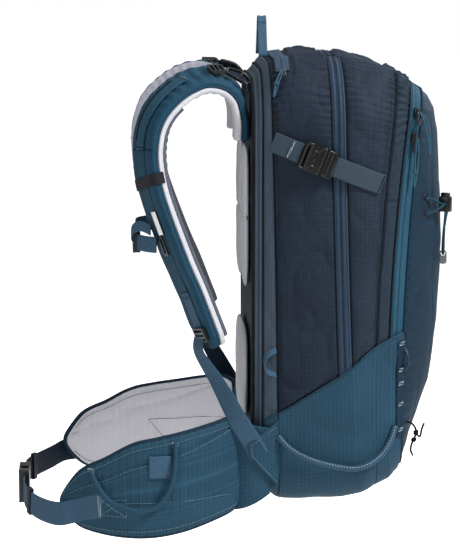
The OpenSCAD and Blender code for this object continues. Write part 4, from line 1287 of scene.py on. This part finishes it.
def freeCord(name, nodeName, points, diameter, look, body, knots=()):
    path = spline([Vector(p) for p in points], 6)
    made = tube(name, path, diameter / 2, look, body, 4)
    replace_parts(made, nodeName)
    for j, at in enumerate(knots):
        tube(name + "Knot%d" % j, knotCoil(path, at, diameter), diameter * 0.48, look, body, 3)
    if name == "knottedCord":
        bends = [path[18] + Vector(q) for q in ((0, 0, 0), (-1, -5, -4), (-1, -7, 5), (-1, -10, 13))]
        tube(name + "Tail", spline(bends, 5), diameter * 0.5, look, body, 4)
    if name.endswith("Pull"):
        last = len(path) - 1
        strand = [p + Vector((0.4, -0.9 - 2.6 * math.sin(math.pi * i / last), 0.2)) for i, p in enumerate(path)]
        tube(name + "Strand", strand, diameter * 0.45, look, body, 4)
    tuple(inRow(path[0]))
    return made


freeCord("bungeeCord", "bungee", bungeePoints, 3.2, "cord", "bag")
freeCord("knottedCord", "knot_cord", knotPoints, 2.6, "black", "bag", (0.42, 0.6))
freeCord("topPull", "pull_cord_top", pullPoints(2.22, -0.176, 1.2, topFall), 2, "paleCord", "slider_top",
         (0.62,))
freeCord("upperPull", "pull_cord_a", pullPoints(6.5, -0.212, 0, upperFall), 2, "paleCord", "slider_pocket_a",
         (0.72,))
freeCord("lowerPull", "pull_cord_b", pullPoints(6.5, -sideV(6.5, 452), 0, lowerFall), 2, "paleCord",
         "slider_pocket_b", (0.72,))


# Plain label on the left pad and the loose end of the sternum webbing
def tagPlace(a, b):
    return padRun.at((11.75 + 0.95 * b) / padSpans, -0.42 + 0.42 * a, 11.6 + 0.4 * math.sin(math.pi * a))


made = bentGrid("strapLabel", 10, 16, tagPlace, lambda a, b: (0.013 * a, 0.026 * b), "label")
settle(thicken(made, 0.8), "bag", "label")
if sum(f.normal[0] for f in made.data.polygons) > 0:
    made.data.flip_normals()
tailRun = evenRun([(-104, 137, 338), (-94, 148, 342), (-84, 157, 338), (-77, 160, 330), (-74, 157, 323)], 6.5,
                  dirs=Vector((0.2, 0, 1)))
strip("chestTail", tailRun, -0.7, 0.7, "webbing", around=12)
print("cords made")


# Buckle frames: bars standing on the faces of the socket and the plug
def buckleBars(name, origin, ex, ez, length, wide, thick, base, plugBody):
    ey = ez.cross(ex)
    h, z = wide / 2 - 1.6, thick / 2 - 0.4

    def local(points):
        return [origin + ex * x + ey * y + ez * z for x, y in points]

    waist = [(2, h), (length * 0.3, h), (length * 0.46, h * 0.62), (length * 0.62, h * 0.62), (length * 0.82, h),
             (length - 2, h)]
    for j, sign in enumerate((1, -1)):
        bar = spline(local([(x, y * sign) for x, y in waist]), 6)
        tube(name + "SocketBar%d" % j, bar, 1.9, "plastic", "bag", 4)
    ends = [local([(x, h), (x, -h)]) for x in (2, length - 2, length * 0.3)]
    tube(name + "SocketEnds", ends, 1.7, "plastic", "bag", 4)
    hub = [(length * 0.4, 0), (length * 0.5, h * 0.3), (length * 0.6, 0), (length * 0.5, -h * 0.3), (length * 0.4, 0)]
    tube(name + "SocketHub", spline(local(hub), 6), 1.3, "plastic", "bag", 3)
    x0, x1 = length + 2.4, length + base - 1.4
    plug = [local([(x0, h), (x1, h), (x1, -h), (x0, -h), (x0, h)]), local([((x0 + x1) / 2, h), ((x0 + x1) / 2, -h)])]
    tube(name + "PlugFrame", plug, 1.8, "plastic", plugBody, 4)


for side, sign in (("Left", 1), ("Right", -1)):
    along, down = onSide(compAlong, sign), onSide(compDown, sign)
    buckleBars("sideBuckle" + side, onSide(compFrom, sign), along, Vector((-sign, 0, 0)), 28, 34, 9, 14,
               "comp_plug_l" if sign == 1 else "comp_plug_r")
    low, high = [onSide(compFrom - compAlong * 14 + compDown * k + Vector((1.6, 0, 0)), sign) for k in (-10, 10)]
    barTack("sideTackRear" + side, (low + high) / 2, (high - low).normalized(), along, 21, 2.2)
    for j, (reachAlong, inward) in enumerate(((66, 1.2), (104, 7.2))):
        tackSpot = onSide(compFrom + compAlong * reachAlong + Vector((inward, 0, 0)), sign)
        barTack("sideTackFront%s%d" % (side, j), tackSpot, down, along, 22, 1.4, "darkThread", 5)
across, outward = Vector((1, 0, 0)), Vector((0, 1, 0))
buckleBars("chestBuckle", Vector((-74, 153, 320)), across, outward, 26, 28, 8, 12, "chest_plug")
buckleBars("hipBuckle", Vector((-36, 297, 2)), across, outward, 34, 42, 12, 16, "hip_plug")


# Puller loops on the sliders
def puller(name, s, v, lift, body, long=15):
    out = skinNormal(s, v)
    down = (skin(s, v * 1.02, 0) - skin(s, v * 0.98, 0)).normalized()
    sideways = out.cross(down)
    start = skin(s, v, lift + 5.2)
    outline = ((0, -2), (2.4, 1), (2.8, long * 0.6), (1.6, long), (-1.6, long), (-2.8, long * 0.6), (-2.4, 1), (0, -2))
    loop = [start + down * y + sideways * x + out * 0.8 for x, y in outline]
    tube(name, spline(loop, 5), 1.3, "plastic", body, 3)


puller("topPuller", 2.22, -0.176, 1.2, "slider_top", 10)
puller("upperPuller", 6.5, -0.212, 0, "slider_pocket_a")
puller("lowerPuller", 6.5, -sideV(6.5, 452), 0, "slider_pocket_b", 17)

# Hip belt trim: patch, box stitch and tacks
boxPath = [(7.0, -8), (7.9, -6), (7.9, 12), (7.0, 14), (7.0, -8), (7.9, 12), (7.9, -6), (7.0, 14)]


def buildTrim(side, far):
    turn = ownSide(far)

    def patchPlace(a, b):
        return turn(finPoint(4.55 + 0.85 * a, 44 + 28 * b, 12.2 + 0.5 * math.sin(math.pi * a), far))

    made = bentGrid("hipPatch" + side, 14, 14, patchPlace, lambda a, b: (0.026 * a, 0.028 * b), "webbing",
                    outward=True)
    settle(thicken(made, 1.4), "bag")
    boxLines = []
    for (c0, z0), (c1, z1) in zip(boxPath, boxPath[1:]):
        spots = [(c0 + (c1 - c0) * i / 20 - 0.75, z0 + (z1 - z0) * i / 20 + 4) for i in range(21)]
        boxLines.append([turn(finPoint(c, z, 11.4, far)) for c, z in spots])
    stitches("hipBoxThread" + side, boxLines, "softThread", 2.2, 1.5, 0.36)
    for j, (c, z) in enumerate(((7.5, 53), (4.45, 86))):
        p, q = [turn(finPoint(c + d, z, 12.6, far)) for d in (0, 0.2)]
        barTack("hipTack%s%d" % (side, j), p, (q - p).normalized(), Vector((0, 0, 1)), 9, 4)


buildTrim("Left", False)
buildTrim("Right", True)
p = finPoint(7.2, 9, 13.2)
barTack("hipWebTack", p, Vector((0, 0, 1)), (finPoint(7.4, 9, 13.2) - p).normalized(), 26, 3)


def padTrim(side, turn, used):
    run = turn(padRun)
    for j, at in enumerate((5.1, 8.9, 15.2)):
        b = at / padSpans
        p = run.at(b, 0, 11.6)
        onward = (run.at(b + 0.005, 0, 11.6) - p).normalized()
        barTack("padTack%s%d" % (side, j), p, run.dirs[int(b * 144)], onward, 17, 3, "softThread")
    cross = [run.at(8.95 / padSpans + 0.004 * abs(k), k, 9.9 - 2.6 * abs(k) ** 5) for k in between(-0.97, 0.97, 30)]
    tube("padCrossSeam" + side, cross, 0.6, "black", sides=2)


bothSides(padTrim)
haulSeams = [[haulRun.at(i / 60, k, 1.7) for i in range(4, 57)] for k in (0.75, -0.75)]
stitches("haulThread", haulSeams, "thread", 2, 1.4, 0.3)
print("trim made")


# Stage: pale floor, soft lights, camera at the left side; lamp place, size and power
stage = {"floor": -0.95, "floorHalf": 14, "floorLight": 0.93, "floorGlow": 0.7, "skySeen": 0.62, "skyLight": 0.38,
         "lens": 154.6, "distance": 3, "height": 9, "turn": 267}
lamps = {"keyLight": ((-1.35, -1.9, 1.8), 0.7, 150), "fillLight": ((-2.2, 1.3, 0.5), 1.4, 26),
         "topLight": ((0.3, 0.3, 2.2), 1.6, 28), "rimLight": ((1.6, -1.6, 0.8), 1.2, 26)}
aim = Vector((0, 0.0395, -0.3253))


def lamp(name, place, size, power):
    data = bpy.data.lights.new(name, "AREA")
    data.size = size
    data.energy = power
    made = bpy.data.objects.new(name, data)
    made.location = place
    made.rotation_euler = (aim - Vector(place)).to_track_quat("-Z", "Y").to_euler()
    scene.collection.objects.link(made)
    return made


lights = [lamp(name, *values) for name, values in lamps.items()]
bm = bmesh.new()
bmesh.ops.create_grid(bm, x_segments=2, y_segments=2, size=stage["floorHalf"])
bmesh.ops.translate(bm, verts=bm.verts, vec=(0, 0, stage["floor"]))
floorLook = bpy.data.materials.new("paleFloor")
floorLook.use_nodes = True
floorTree = floorLook.node_tree
floorInputs = floorTree.nodes["Principled BSDF"].inputs
floorInputs["Base Color"].default_value = (stage["floorLight"], stage["floorLight"], stage["floorLight"], 1)
floorInputs["Roughness"].default_value = 0.9
floorInputs["Emission Color"].default_value = (1, 1, 1, 1)
glow = node(floorTree, "ShaderNodeLightPath")
floorGlow = maths(floorTree, "MULTIPLY", glow.outputs["Is Camera Ray"], stage["floorGlow"])
floorTree.links.new(floorGlow, floorInputs["Emission Strength"])
looks["floor"] = floorLook
floor = finishMesh("floor", bm, "floor", False)
world = bpy.data.worlds.new("studio")
scene.world = world
scene.view_settings.view_transform = "Standard"
world.use_nodes = True
sky = world.node_tree
sky.nodes["Background"].inputs[0].default_value = (1, 1, 1, 1)
ray = node(sky, "ShaderNodeLightPath")
seen = maths(sky, "ADD", maths(sky, "MULTIPLY", ray.outputs["Is Camera Ray"], stage["skySeen"]), stage["skyLight"])
sky.links.new(seen, sky.nodes["Background"].inputs[1])
view = bpy.data.cameras.new("camera")
view.lens = stage["lens"]
view.sensor_width = 36
camera = bpy.data.objects.new("camera", view)
e, a = math.radians(stage["height"]), math.radians(stage["turn"])
back = Vector((math.sin(a) * math.cos(e), -math.cos(a) * math.cos(e), math.sin(e)))
camera.location = aim + back * stage["distance"]
camera.rotation_euler = (-back).to_track_quat("-Z", "Y").to_euler()
scene.collection.objects.link(camera)
scene.camera = camera
